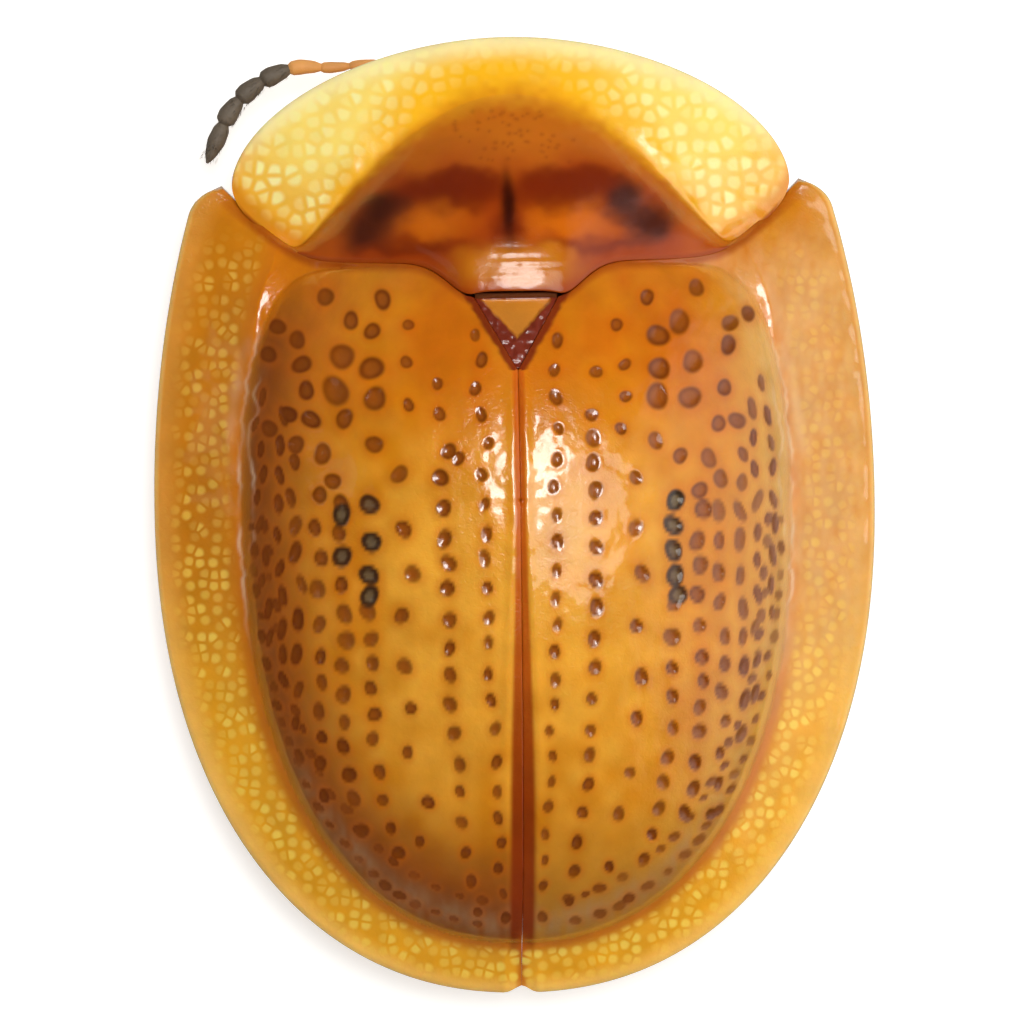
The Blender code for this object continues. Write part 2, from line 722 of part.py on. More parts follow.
# Where each left leg's hip, knee, ankle and toe lie, in millimetres
LEGS = {
    "front": ((0.30, -2.12, 0.56), (1.02, -2.30, 0.36), (1.38, -2.18, 0.16), (1.82, -2.22, 0.10)),
    "middle": ((0.42, -0.80, 0.56), (1.32, -1.18, 0.36), (1.86, -0.86, 0.16), (2.38, -0.78, 0.10)),
    "hind": ((0.42, 0.06, 0.56), (1.36, 0.62, 0.36), (1.72, 1.20, 0.16), (2.00, 1.68, 0.10)),
}


def between(start, end, shares):
    """Points at those shares of the way from start to end."""
    start, end = np.array(start, float), np.array(end, float)
    return [start + (end - start) * share for share in shares]


def leg(name, side, which, carrier):
    """One leg: hip, thigh, shin, a flat foot of three pads and two claws, cut clear of the body."""
    hip, knee, ankle, toe = (np.array([side * x, y, z]) * MM for x, y, z in LEGS[which])
    thigh = limb(
        name,
        between(hip, knee, (0, 0.15, 0.4, 0.7, 0.92, 1.05)),
        np.array([0.5, 0.85, 1.0, 0.95, 0.78, 0.4]) * FEMUR_WIDTH,
        np.array([0.5, 0.72, 0.84, 0.80, 0.70, 0.35]) * FEMUR_WIDTH,
        "amber_leg",
        sides=10,
    )
    shin = limb(
        f"{name}_shin",
        between(knee, ankle, (-0.08, 0.1, 0.5, 0.9, 1.05)),
        np.array([0.45, 0.85, 0.85, 1.0, 0.6]) * TIBIA_WIDTH,
        np.array([0.40, 0.72, 0.72, 0.62, 0.4]) * TIBIA_WIDTH,
        "amber_leg",
        floor=0.04 * MM,
    )
    share = np.linspace(-0.06, 1, 13)
    pads = 0.78 + 0.22 * np.abs(np.sin(math.pi * 3 * np.clip(share, 0, 1)))
    pads *= np.clip((1.15 - share) * 4, 0.3, 1)
    middle = between(ankle, toe, share)
    for point in middle:
        point[2] = TARSUS_HEIGHT / 2
    foot = limb(
        f"{name}_foot",
        middle,
        pads * TARSUS_WIDTH,
        np.full(13, 1.6 * TARSUS_HEIGHT),
        "amber_leg",
        floor=0.0,
    )
    ball = ellipsoid(
        f"{name}_hip",
        hip,
        (0.26 * MM, 0.24 * MM, 0.20 * MM),
        "amber_leg",
        segments=12,
        rings=8,
    )
    pieces = [shin, foot, ball]
    ahead = (toe - ankle) / np.linalg.norm(toe - ankle)
    across = np.array([-ahead[1], ahead[0], 0.0])
    for bend in (-1, 1):
        root = toe - 0.10 * MM * ahead + bend * 0.05 * MM * across
        tip = toe + CLAW_LENGTH * 0.7 * ahead + bend * 0.10 * MM * across
        path = between(root, tip, (0, 0.6, 1))
        path[0][2], path[1][2], path[2][2] = 0.11 * MM, 0.12 * MM, 0.05 * MM
        size = np.array([0.12, 0.09, 0.03]) * MM
        pieces.append(limb(f"{name}_claw{bend}", path, size, size, "brown_belly", sides=6, floor=0.0))
    combine(thigh, pieces, "UNION")
    return combine(thigh, [carrier(SEAM)], "DIFFERENCE")


def build():
    """Makes every part of the beetle."""
    clear_scene()
    neck_shield()
    scutellum()
    wing_case("wing_case_left", 1)
    wing_case("wing_case_right", -1)
    fore_body()
    hind_body()
    abdomen()
    skull = head()
    combine(skull, [fore_body(SEAM), shield_cutter()], "DIFFERENCE")
    skull.name = "head"
    eye("eye_left", 1)
    eye("eye_right", -1)
    jaws()
    feeler("feeler_left", LEFT_FEELER)
    feeler("feeler_right", RIGHT_FEELER)
    for which in LEGS:
        carrier = fore_body if which == "front" else hind_body
        leg(f"leg_{which}_left", 1, which, carrier)
        leg(f"leg_{which}_right", -1, which, carrier)


build()
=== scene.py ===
"""The looks of a life-size tortoise beetle, seen from above as in the photograph.

Every length here is in millimetres until a mesh is made. The origin is on the floor under
the middle of the shell, +Z is up, the head points to -Y and the beetle's left is +X.
"""

import logging
import math
from dataclasses import dataclass, field
from enum import Enum

import bpy
import numpy as np
from mathutils import Matrix, Vector


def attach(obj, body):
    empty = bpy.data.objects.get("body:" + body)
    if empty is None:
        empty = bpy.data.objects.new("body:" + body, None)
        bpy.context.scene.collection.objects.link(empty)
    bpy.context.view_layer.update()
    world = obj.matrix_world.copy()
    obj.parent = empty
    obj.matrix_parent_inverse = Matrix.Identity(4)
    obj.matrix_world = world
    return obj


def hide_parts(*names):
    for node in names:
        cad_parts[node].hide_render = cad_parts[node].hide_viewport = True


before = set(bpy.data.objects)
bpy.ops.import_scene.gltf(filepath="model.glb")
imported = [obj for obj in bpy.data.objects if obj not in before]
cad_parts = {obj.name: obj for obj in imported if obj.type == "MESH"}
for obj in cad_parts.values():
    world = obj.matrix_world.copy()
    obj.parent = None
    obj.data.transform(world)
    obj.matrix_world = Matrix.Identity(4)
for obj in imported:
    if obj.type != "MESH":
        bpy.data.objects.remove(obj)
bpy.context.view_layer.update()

MM = 0.001
ROOT = "root"
LOG = logging.getLogger("tortoise_beetle")

Array = np.ndarray
Socket = bpy.types.NodeSocket
Colour = tuple[float, float, float]


class Side(Enum):
    """The beetle's own left and right."""

    LEFT = 1
    RIGHT = -1

    @property
    def word(self) -> str:
        """The side's name as the parts spell it."""
        return self.name.lower()


def smooth_step(low: float, high: float, value: Array) -> Array:
    """Zero below low and one above high, with the cubic 3t^2 - 2t^3 between.

    Args:
        low: Where the step starts.
        high: Where the step ends; it may be the smaller of the two.
        value: The numbers to step.

    Returns:
        The step, from 0 to 1.
    """
    share = np.clip((value - low) / (high - low), 0, 1)
    return share * share * (3 - 2 * share)


def bell(value: Array, middle: float, width: float) -> Array:
    """A soft band: e to the minus square of the distance from the middle, in widths."""
    return np.exp(-(((value - middle) / width) ** 2))


def blob(
    x: Array, y: Array, centre: tuple[float, float], radii: tuple[float, float], power: float = 1.0
) -> Array:
    """A soft round spot: e to the minus (squared distance in radii) to the power.

    Args:
        x: Places across.
        y: Places along.
        centre: The spot's middle.
        radii: Its half widths across and along.
        power: One for a soft spot, more for a flat one with a quick edge.

    Returns:
        The spot's strength, one in its middle.
    """
    out = ((x - centre[0]) / radii[0]) ** 2 + ((y - centre[1]) / radii[1]) ** 2
    return np.exp(-(out**power))


def mix(first: Array | Colour, second: Array | Colour, share: Array) -> Array:
    """Colours between first and second, by a share at each point."""
    share = np.asarray(share)[..., None]
    return np.asarray(first) * (1 - share) + np.asarray(second) * share


def value_noise(x: Array, y: Array, cell: tuple[float, float], seed: int) -> Array:
    """Smooth random hills, from -1 to 1: random heights on a grid, blended by cubic steps.

    Args:
        x: Places across.
        y: Places along.
        cell: The grid's spacing across and along.
        seed: The number that the heights are drawn from.

    Returns:
        The hills' height at each place.
    """
    heights = np.random.default_rng(seed).uniform(-1, 1, (64, 64))
    across, along = x / cell[0] + 1000, y / cell[1] + 1000
    column, row = np.floor(across).astype(int), np.floor(along).astype(int)
    u, v = smooth_step(0, 1, across - column), smooth_step(0, 1, along - row)
    column, row = column % 64, row % 64
    after, under = (column + 1) % 64, (row + 1) % 64
    top = heights[row, column] * (1 - u) + heights[row, after] * u
    low = heights[under, column] * (1 - u) + heights[under, after] * u
    return top * (1 - v) + low * v


# Meshes


@dataclass
class Net:
    """Points, faces and point marks of a piece, gathered sheet by sheet."""

    points: list[Array] = field(default_factory=list)
    faces: list[list[int]] = field(default_factory=list)
    pigments: list[Array] = field(default_factory=list)
    marks: list[Array] = field(default_factory=list)
    count: int = 0

    def add(self, points: Array, pigment: Array | Colour, mark: Array | float = 0.0) -> Array:
        """Adds points with their colours and marks.

        Args:
            points: An array whose last axis is x, y, z in millimetres.
            pigment: One colour, or one for each point.
            mark: One number, or one for each point.

        Returns:
            The points' indices, in the shape of the array.
        """
        shape = points.shape[:-1]
        total = int(np.prod(shape))
        first = self.count
        self.points.append(points.reshape(-1, 3))
        self.pigments.append(np.broadcast_to(pigment, (*shape, 3)).reshape(-1, 3))
        self.marks.append(np.broadcast_to(mark, shape).reshape(-1))
        self.count += total
        return np.arange(first, first + total).reshape(shape)

    def weave(self, index: Array, closed: bool = False, flip: bool = False) -> None:
        """Joins a grid of points with four-sided faces.

        Args:
            index: The points' indices, in rows and columns.
            closed: True where the last column joins the first.
            flip: True to turn the faces over.
        """
        if closed:
            index = np.concatenate([index, index[:, :1]], axis=1)
        a, b, c, d = index[:-1, :-1], index[:-1, 1:], index[1:, 1:], index[1:, :-1]
        order = (a, d, c, b) if flip else (a, b, c, d)
        self.faces += np.stack(order, axis=-1).reshape(-1, 4).tolist()

    def fan(self, ring: Array, pole: int, flip: bool = False) -> None:
        """Closes a ring of points with triangles to one point.

        Args:
            ring: The ring's indices.
            pole: The point's index.
            flip: True to turn the faces over.
        """
        after = np.roll(ring, -1)
        middle = np.full_like(ring, pole)
        order = (ring, middle, after) if flip else (ring, after, middle)
        self.faces += np.stack(order, axis=-1).tolist()

    def close(self, rings: Array, poles: Array) -> None:
        """Joins rings of points into a closed skin, with a fan to a pole at each end.

        Args:
            rings: The rings' indices, one row each.
            poles: The indices of the first and last pole.
        """
        self.weave(rings, closed=True)
        self.fan(rings[0], int(poles[0]), flip=True)
        self.fan(rings[-1], int(poles[1]))

    def put_spikes(self, base: Array, tip: Array, tone: Array | Colour) -> None:
        """Adds hairs, each a closed spike from the three corners of its base to its tip.

        Args:
            base: Three corners for each spike.
            tip: A tip for each spike.
            tone: Their colour.
        """
        index = self.add(np.concatenate([base, tip[:, None]], axis=1), tone)
        for corners in ((0, 1, 3), (1, 2, 3), (2, 0, 3), (0, 2, 1)):
            self.faces += index[:, list(corners)].tolist()

    def volume(self) -> float:
        """Six times the signed volume inside the faces, each taken as a fan of triangles.

        Returns:
            The volume times six, below zero where the faces point in.
        """
        points = np.concatenate(self.points)
        total = 0.0
        for size in {len(face) for face in self.faces}:
            corners = points[np.array([face for face in self.faces if len(face) == size])]
            for k in range(1, size - 1):
                turn = np.cross(corners[:, k], corners[:, k + 1])
                total += float(np.einsum("ij,ij->", corners[:, 0], turn))
        return total

    def build(self, name: str) -> bpy.types.Object:
        """Makes the piece's object, with faces pointing out and smooth shading.

        Args:
            name: The piece's name.

        Returns:
            The object, with the colours in "pigment" and the marks in "mark".
        """
        if self.volume() < 0:
            self.faces = [face[::-1] for face in self.faces]
        mesh = bpy.data.meshes.new(name)
        mesh.from_pydata((np.concatenate(self.points) * MM).tolist(), [], self.faces)
        rgba = np.ones((self.count, 4), np.float32)
        rgba[:, :3] = np.concatenate(self.pigments)
        mesh.attributes.new("pigment", "FLOAT_COLOR", "POINT").data.foreach_set("color", rgba.ravel())
        marks = np.concatenate(self.marks).astype(np.float32)
        mesh.attributes.new("mark", "FLOAT", "POINT").data.foreach_set("value", marks)
        mesh.update()
        mesh.shade_smooth()
        piece = bpy.data.objects.new(name, mesh)
        bpy.context.collection.objects.link(piece)
        return piece


def rim_places(rows: int, columns: int) -> Array:
    """The rows and columns of the places round a grid's edge, in order.

    Args:
        rows: How many rows.
        columns: How many columns.

    Returns:
        A row and a column for each place.
    """
    across, down = np.arange(columns), np.arange(rows)
    sides = (
        (np.zeros(columns - 1, int), across[:-1]),
        (down[:-1], np.full(rows - 1, columns - 1)),
        (np.full(columns - 1, rows - 1), across[:0:-1]),
        (down[:0:-1], np.zeros(rows - 1, int)),
    )
    return np.concatenate([np.stack(side, axis=1) for side in sides])


def every(step: int) -> tuple[slice, slice]:
    """The rows and columns of a coarse sheet: one in every step of a fine sheet's."""
    return slice(None, None, step), slice(None, None, step)


def plate(
    name: str, upper: Array, lower: Array, step: int, pigment: Array, mark: Array, under: Colour
) -> bpy.types.Object:
    """A closed plate: a fine upper sheet, a coarse lower one, and a strip of faces round their edges.

    Args:
        name: The piece's name.
        upper: The upper sheet's points, in rows and columns.
        lower: Those of the lower sheet, which has one for every step of the upper one's.
        step: How many cells of the upper sheet one of the lower sheet spans.
        pigment: The upper sheet's colours.
        mark: The upper sheet's marks.
        under: The lower sheet's colour.

    Returns:
        The plate's object.
    """
    net = Net()
    top = net.add(upper, pigment, mark)
    low = net.add(lower, under, mark[every(step)])
    net.weave(top)
    net.weave(low, flip=True)
    edge = top[tuple(rim_places(*top.shape).T)]
    low_edge = low[tuple(rim_places(*low.shape).T)]
    for k, here in enumerate(low_edge):
        start = k * step
        along = [int(edge[(start + j) % len(edge)]) for j in range(step + 1)]
        net.faces.append([*along[::-1], int(here), int(low_edge[(k + 1) % len(low_edge)])])
    return net.build(name)


# Materials


def fill(tree: bpy.types.NodeTree, node: bpy.types.Node, inputs: dict) -> None:
    """Gives each named input of a node its value, or links it to another node's output.

    Args:
        tree: The node tree.
        node: The node.
        inputs: A value or an output for each input's name or number.
    """
    for place, value in inputs.items():
        if isinstance(value, bpy.types.NodeSocket):
            tree.links.new(value, node.inputs[place])
        else:
            node.inputs[place].default_value = value


def attribute(tree: bpy.types.NodeTree, name: str) -> bpy.types.Node:
    """A node that reads one of the mesh's attributes.

    Args:
        tree: The node tree.
        name: The attribute's name.

    Returns:
        The node.
    """
    made = tree.nodes.new("ShaderNodeAttribute")
    made.attribute_name = name
    return made


def calculate(tree: bpy.types.NodeTree, operation: str, first: Socket | float, second: Socket) -> Socket:
    """The result of a Math node on two numbers.

    Args:
        tree: The node tree.
        operation: What is done.
        first: The first number.
        second: The second one.

    Returns:
        The result's output.
    """
    made = tree.nodes.new("ShaderNodeMath")
    made.operation = operation
    fill(tree, made, {0: first, 1: second})
    return made.outputs["Value"]


def pattern(tree: bpy.types.NodeTree, kind: str, place: Socket, size: float, inputs: dict) -> bpy.types.Node:
    """A noise or cell pattern whose marks have a size in millimetres.

    Args:
        tree: The node tree.
        kind: Noise or Voronoi.
        place: The texture's place.
        size: The size in millimetres.
        inputs: The pattern's other inputs.

    Returns:
        The node.
    """
    made = tree.nodes.new(f"ShaderNodeTex{kind}")
    fill(tree, made, {"Vector": place, "Scale": 1 / (size * MM), **inputs})
    return made


def spread(
    tree: bpy.types.NodeTree,
    value: Socket,
    source: tuple[float, float] = (0.0, 1.0),
    target: tuple[Socket | float, ...] = (0.0, 1.0),
    smooth: bool = False,
) -> Socket:
    """Carries a number from one range to another.

    Args:
        tree: The node tree.
        value: The number.
        source: The range that it comes from; its start may be the larger one.
        target: The range that it goes to.
        smooth: True for a soft step, False for a straight line.

    Returns:
        The number in the new range.
    """
    made = tree.nodes.new("ShaderNodeMapRange")
    if smooth:
        made.interpolation_type = "SMOOTHSTEP"
    names = ("From Min", "From Max", "To Min", "To Max")
    fill(tree, made, {"Value": value, **dict(zip(names, (*source, *target)))})
    return made.outputs["Result"]


@dataclass(frozen=True)
class Finish:
    """A glossy insect skin: colour from the mesh, cloudy variation, pale cells and fine relief."""

    name: str
    roughness: float = 0.3
    specular: float = 0.5
    index: float = 1.58
    coat: float = 0.5
    coat_roughness: float = 0.10
    coat_index: float = 1.6
    cloud: float = 0.12
    cloud_size: float = 0.30
    grain_size: float = 0.03
    grain_depth: float = 0.002
    cell_colour: Colour | None = None
    cell_size: float = 0.11
    cell_wall: float = 0.04
    cell_fade: float = 0.18
    cell_loose: float = 0.9
    cell_least: float = 0.35
    cell_round: tuple[float, float] = (0.60, 0.26)
    subsurface: float = 0.15
    subsurface_tint: Colour = (1.0, 0.45, 0.12)
    subsurface_depth: float = 0.04
    facets: float = 0.0

    def build(self) -> bpy.types.Material:
        """Makes the material.

        Returns:
            A Principled material that reads the mesh's "pigment" and "mark".
        """
        made = bpy.data.materials.new(self.name)
        made.use_nodes = True
        tree = made.node_tree
        shader = tree.nodes["Principled BSDF"]
        skin = {
            "Roughness": self.roughness,
            "Specular IOR Level": self.specular,
            "IOR": self.index,
            "Coat Weight": self.coat,
            "Coat Roughness": self.coat_roughness,
            "Coat IOR": self.coat_index,
            "Subsurface Weight": self.subsurface,
            "Subsurface Radius": self.subsurface_tint,
            "Subsurface Scale": self.subsurface_depth * MM,
        }
        fill(tree, shader, skin)
        place = tree.nodes.new("ShaderNodeTexCoord").outputs["Object"]
        cloud = pattern(tree, "Noise", place, self.cloud_size, {"Detail": 5.0})
        bright = spread(tree, cloud.outputs["Fac"], (0.3, 0.7), (1 - self.cloud, 1 + self.cloud))
        shade = tree.nodes.new("ShaderNodeVectorMath")
        shade.operation = "SCALE"
        fill(tree, shade, {0: attribute(tree, "pigment").outputs["Color"], "Scale": bright})
        colour = shade.outputs["Vector"]
        if self.cell_colour:
            colour = self.with_cells(tree, place, colour)
        height = self.grain_height(tree, place)
        bump = tree.nodes.new("ShaderNodeBump")
        fill(tree, bump, {"Strength": 1.0, "Distance": self.grain_depth * MM, "Height": height})
        fill(tree, shader, {"Base Color": colour, "Normal": bump.outputs["Normal"]})
        return made

    def grain_height(self, tree: bpy.types.NodeTree, place: Socket) -> Socket:
        """The relief's height: fine noise, or the domes of an eye's facets.

        Args:
            tree: The node tree.
            place: The texture's place.

        Returns:
            The height's output.
        """
        if self.facets:
            facet = pattern(tree, "Voronoi", place, self.facets, {"Randomness": 0.15})
            facet.feature = "SMOOTH_F1"
            return calculate(tree, "SUBTRACT", 1.0, facet.outputs["Distance"])
        grain = pattern(tree, "Noise", place, self.grain_size, {"Detail": 3.0, "Distortion": 0.6})
        return grain.outputs["Fac"]

    def with_cells(self, tree: bpy.types.NodeTree, place: Socket, colour: Socket) -> Socket:
        """Lays pale round cells over the colour where the mesh is marked.

        Args:
            tree: The material's nodes.
            place: The texture's place.
            colour: The colour between the cells.

        Returns:
            The colour with the cells.
        """
        cells, walls = (pattern(tree, "Voronoi", place, self.cell_size, {}) for _ in range(2))
        walls.feature = "DISTANCE_TO_EDGE"
        for made in (cells, walls):
            made.voronoi_dimensions = "2D"
            fill(tree, made, {"Randomness": self.cell_loose})
        edge = (self.cell_wall, self.cell_wall + self.cell_fade)
        inside = spread(tree, walls.outputs["Distance"], edge, smooth=True)
        rounded = spread(tree, cells.outputs["Distance"], self.cell_round, smooth=True)
        vary = tree.nodes.new("ShaderNodeSeparateColor")
        fill(tree, vary, {"Color": cells.outputs["Color"]})
        some = spread(tree, vary.outputs["Red"], (0.0, 1.0), (self.cell_least, 1.0))
        share = calculate(tree, "MULTIPLY", inside, some)
        share = calculate(tree, "MULTIPLY", share, rounded)
        share = calculate(tree, "MULTIPLY", share, attribute(tree, "mark").outputs["Fac"])
        blend = tree.nodes.new("ShaderNodeMix")
        blend.data_type = "RGBA"
        fill(tree, blend, {"A": colour, "B": (*self.cell_colour, 1.0), "Factor": share})
        return blend.outputs["Result"]


WING_CASE_FINISH = Finish(
    "amber_wing_case",
    roughness=0.24,
    specular=0.30,
    coat=0.9,
    cloud=0.09,
    subsurface=0.35,
    grain_size=0.035,
    grain_depth=0.0045,
    cell_colour=(1.0, 0.68, 0.10),
    cell_size=0.090,
    cell_wall=0.02,
    cell_fade=0.16,
    cell_loose=0.75,
    cell_least=0.25,
    cell_round=(0.56, 0.20),
)
SHIELD_FINISH = Finish(
    "golden_neck_shield",
    roughness=0.24,
    specular=0.30,
    coat=0.35,
    cloud=0.06,
    subsurface=0.35,
    cell_colour=(1.0, 0.86, 0.36),
    cell_size=0.118,
    cell_wall=0.02,
    cell_fade=0.24,
    cell_loose=0.64,
    cell_least=0.30,
    cell_round=(0.62, 0.24),
)
SCUTELLUM_FINISH = Finish("amber_scutellum", roughness=0.35, coat=0.4, grain_depth=0.004)
BELLY_FINISH = Finish("brown_belly_plate", roughness=0.38, coat=0.25, cloud=0.2, grain_depth=0.004)
LEG_FINISH = Finish("amber_leg_skin", roughness=0.34, coat=0.3, grain_size=0.02, grain_depth=0.002)
HEAD_FINISH = Finish("amber_head_skin", roughness=0.36, coat=0.3, grain_size=0.025, grain_depth=0.004)
EYE_FINISH = Finish(
    "faceted_eye", roughness=0.16, coat=0.8, subsurface=0.0, facets=0.022, grain_depth=0.006, cloud=0.05
)
FEELER_FINISH = Finish(
    "downy_feeler", roughness=0.62, coat=0.0, grain_size=0.012, grain_depth=0.004, subsurface=0.05, cloud=0.2
)


def dress(piece: bpy.types.Object, finish: Finish, slot: str, *nodes: str) -> None:
    """Gives a piece its finish and says what it rides on and replaces.

    Args:
        piece: The finished piece.
        finish: Its finish.
        slot: Not used.
        nodes: The nodes that it replaces.
    """
    made = bpy.data.materials.get(finish.name) or finish.build()
    piece.data.materials.append(made)
    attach(piece, ROOT)
    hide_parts(*nodes)
    LOG.info("%s: %d faces", piece.name, len(piece.data.polygons))


# The shell's form


@dataclass(frozen=True)
class ShellForm:
    """Outline and height of the whole shell as functions of the place seen from above."""

    length: float = 7.00
    half_width: float = 2.64
    rear_power: float = 2.2
    height: float = 2.67
    seam: float = 0.002
    widest_y: float = -0.11
    front_taper: float = 4.73
    shoulder_y: float = -2.42
    shoulder_round: float = 0.19
    dome_share: float = 0.757
    dome_spread: float = 0.138
    dome_front_half: float = 1.25
    dome_front_reach: float = 1.70
    dome_front_power: float = 3.2
    foot_reach: float = 2.9
    foot_soft: float = 0.16
    base_y: float = -1.82
    base_bend_x: float = 1.53
    base_bend: float = 0.20
    base_slope: float = 0.43
    base_dip: float = 0.25
    scutellum_half: float = 0.30
    scutellum_base_y: float = -1.57
    scutellum_tip_y: float = -1.06
    shield_half: float = 2.04
    shield_widest_y: float = -2.44
    hood_half: float = 1.60
    hood_base_y: float = -1.88
    hood_reach: float = 1.19
    rim_z: float = 0.62
    fold_z: float = 1.12
    tail_fold_z: float = 0.95
    shield_rim_z: float = 0.72
    shield_rise: float = 0.45
    shoulder_drop: float = 0.58
    base_half: float = 2.45
    base_blend: float = 0.85
    crown_reach: float = 1.5
    wall: float = 0.40
    rim_wall: float = 0.10

    @property
    def tail_y(self) -> float:
        """y of the shell's rear end."""
        return self.length / 2

    @property
    def shield_reach(self) -> float:
        """How far the neck shield reaches in front of its widest place."""
        return self.shield_widest_y + self.length / 2

    def side(self, y: Array) -> Array:
        """Half width: an ellipse in front of the widest place, fuller behind it, and a round shoulder.

        Args:
            y: Places along.

        Returns:
            The half width.
        """
        ahead = np.clip((self.widest_y - y) / self.front_taper, 0, 1)
        behind = np.clip((y - self.widest_y) / (self.tail_y - self.widest_y), 0, 1)
        half = self.half_width * np.sqrt(1 - ahead**2)
        half = half * (1 - behind**self.rear_power) ** (1 / self.rear_power)
        rounding = self.shoulder_round
        corner = np.clip(self.shoulder_y + rounding - y, 0, rounding)
        return half - (rounding - np.sqrt(rounding**2 - corner**2))

    def base_line(self, x: Array) -> Array:
        """y of the wing cases' front edge: level, back at the scutellum, a hyperbola forward at the side.

        Args:
            x: Places across.

        Returns:
            y of the edge.
        """
        x = np.maximum(np.abs(x), self.scutellum_half)
        dip = (self.scutellum_base_y - self.base_y) * bell(x, self.scutellum_half, self.base_dip)
        out = x - self.base_bend_x
        return self.base_y + dip - self.base_slope * (out + np.sqrt(out**2 + self.base_bend**2))

    def dome_side(self, y: Array) -> Array:
        """Half width of the dome: a share of the shell's, narrowed in front by a superellipse.

        Args:
            y: Places along.

        Returns:
            The half width.
        """
        across = self.dome_share * self.side(np.maximum(y, self.shoulder_y + self.shoulder_round))
        share = np.clip((self.widest_y - y) / self.dome_front_reach, 0, 1)
        arch = (1 - share**self.dome_front_power) ** (1 / self.dome_front_power)
        return self.dome_front_half + (across - self.dome_front_half) * arch

    def border_foot(self, y: Array, dome: Array) -> Array:
        """Where the border starts: the dome's edge, carried on past its corner along a wider ellipse.

        Args:
            y: Places along.
            dome: Half width of the dome there.

        Returns:
            x of the border's foot.
        """
        forward = np.clip((self.widest_y - y) / self.foot_reach, 0, 1)
        front = self.dome_front_half
        wider = front + (self.dome_share * self.side(y) - front) * np.sqrt(1 - forward**2)
        soft = self.foot_soft * smooth_step(0.9, 1.6, self.widest_y - y)
        return (dome + wider + np.sqrt((dome - wider) ** 2 + soft**2)) / 2

    def reach_out(self, x: Array, y: Array) -> Array:
        """How far out a place behind the widest one lies: one at the rim, along a superellipse.

        Args:
            x: Places across.
            y: Places along.

        Returns:
            The share of the way out.
        """
        along = np.clip((y - self.widest_y) / (self.tail_y - self.widest_y), 0, None)
        total = (np.abs(x) / self.half_width) ** self.rear_power + along**self.rear_power
        return total ** (1 / self.rear_power)

    def zones(self, x: Array, y: Array) -> tuple[Array, Array, Array]:
        """How far out a place lies on the dome and on the border.

        Args:
            x: Places across.
            y: Places along.

        Returns:
            The share of the way from the middle to the fold, the share of the way from the fold to the
            rim, and the fold's height there.
        """
        x = np.abs(x)
        behind = y > self.widest_y
        along = (y - self.widest_y) / (self.tail_y - self.widest_y)
        out_behind = self.reach_out(x, y)
        turn = np.clip(along / np.maximum(out_behind, 1e-9), 0, 1) ** 2
        fold_behind = self.dome_share + self.dome_spread * turn
        side = np.maximum(self.side(y), 1e-6)
        dome = np.maximum(self.dome_side(y), 1e-6)
        share = np.where(behind, out_behind / fold_behind, x / dome)
        out_border = (out_behind - fold_behind) / (1 - fold_behind)
        foot = self.border_foot(y, dome)
        border = np.where(behind, out_border, (x - foot) / np.maximum(side - foot, 1e-6))
        fold = np.where(behind, self.fold_z + (self.tail_fold_z - self.fold_z) * turn, self.fold_z)
        return share, np.clip(border, 0, 1), fold

    def crown(self, y: Array) -> Array:
        """Height of the shell's ridge: level at the widest place, falling like a square in front of it."""
        forward = np.clip((self.widest_y - y) / self.crown_reach, 0, 2)
        return self.height - self.shoulder_drop * forward**2

    def base_z(self, x: Array, y: Array) -> Array:
        """Height across the base, where the neck shield meets the wing cases: a bell (1 - t^2.4)^2.5."""
        share = np.clip(np.abs(x) / self.base_half, 0, 1)
        return self.rim_z + (self.crown(y) - self.rim_z) * (1 - share**2.4) ** 2.5

    def wing_z(self, x: Array, y: Array) -> Array:
        """Height of the wing cases: a dome inside the fold, a border outside it, and the bell at the base.

        The dome is (1 - s^2.2)^0.75 and the border (1 - b)^1.5.

        Args:
            x: Places across.
            y: Places along.

        Returns:
            The height.
        """
        share, border, fold = self.zones(x, y)
        dome = fold + (self.crown(y) - fold) * (1 - np.clip(share, 0, 1) ** 2.2) ** 0.75
        rim = self.rim_z + (fold - self.rim_z) * (1 - border) ** 1.5
        ahead = 1 - np.clip((y - self.base_line(x)) / self.base_blend, 0, 1)
        behind_base = (1 - ahead**2) ** 0.65
        plain = np.where(share < 1, dome, rim)
        return plain * behind_base + self.base_z(x, y) * (1 - behind_base)

    def shield_front(self, x: Array) -> Array:
        """y of the neck shield's front edge, half an ellipse with slightly flattened sides."""
        share = np.clip(np.abs(x) / self.shield_half, 0, 1)
        return self.shield_widest_y - self.shield_reach * (1 - share**1.9) ** 0.57

    def shield_rear(self, x: Array) -> Array:
        """y of the neck shield's rear edge: along the wing cases, rounded off at the sides.

        Args:
            x: Places across.

        Returns:
            y of the edge.
        """
        share = np.clip(np.abs(x) / self.shield_half, 0, 1)
        follow = self.base_line(x) - self.seam - self.shield_widest_y
        return self.shield_widest_y + follow * np.sqrt(1 - share**36)

    def hood_share(self, x: Array, y: Array) -> Array:
        """Share of the way from the shield's rear edge to the hood's front edge, a cosine arch.

        Args:
            x: Places across.
            y: Places along.

        Returns:
            The share, one at the hood's front edge.
        """
        rear = self.base_line(x) - self.seam
        angle = np.clip(np.abs(x) / self.hood_half, 0, 1) * math.pi / 2
        reach = rear - self.hood_base_y + self.hood_reach * np.cos(angle)
        reach = (reach + np.sqrt(reach**2 + 0.12**2)) / 2
        return np.clip((rear - y) / reach, 0, 3)

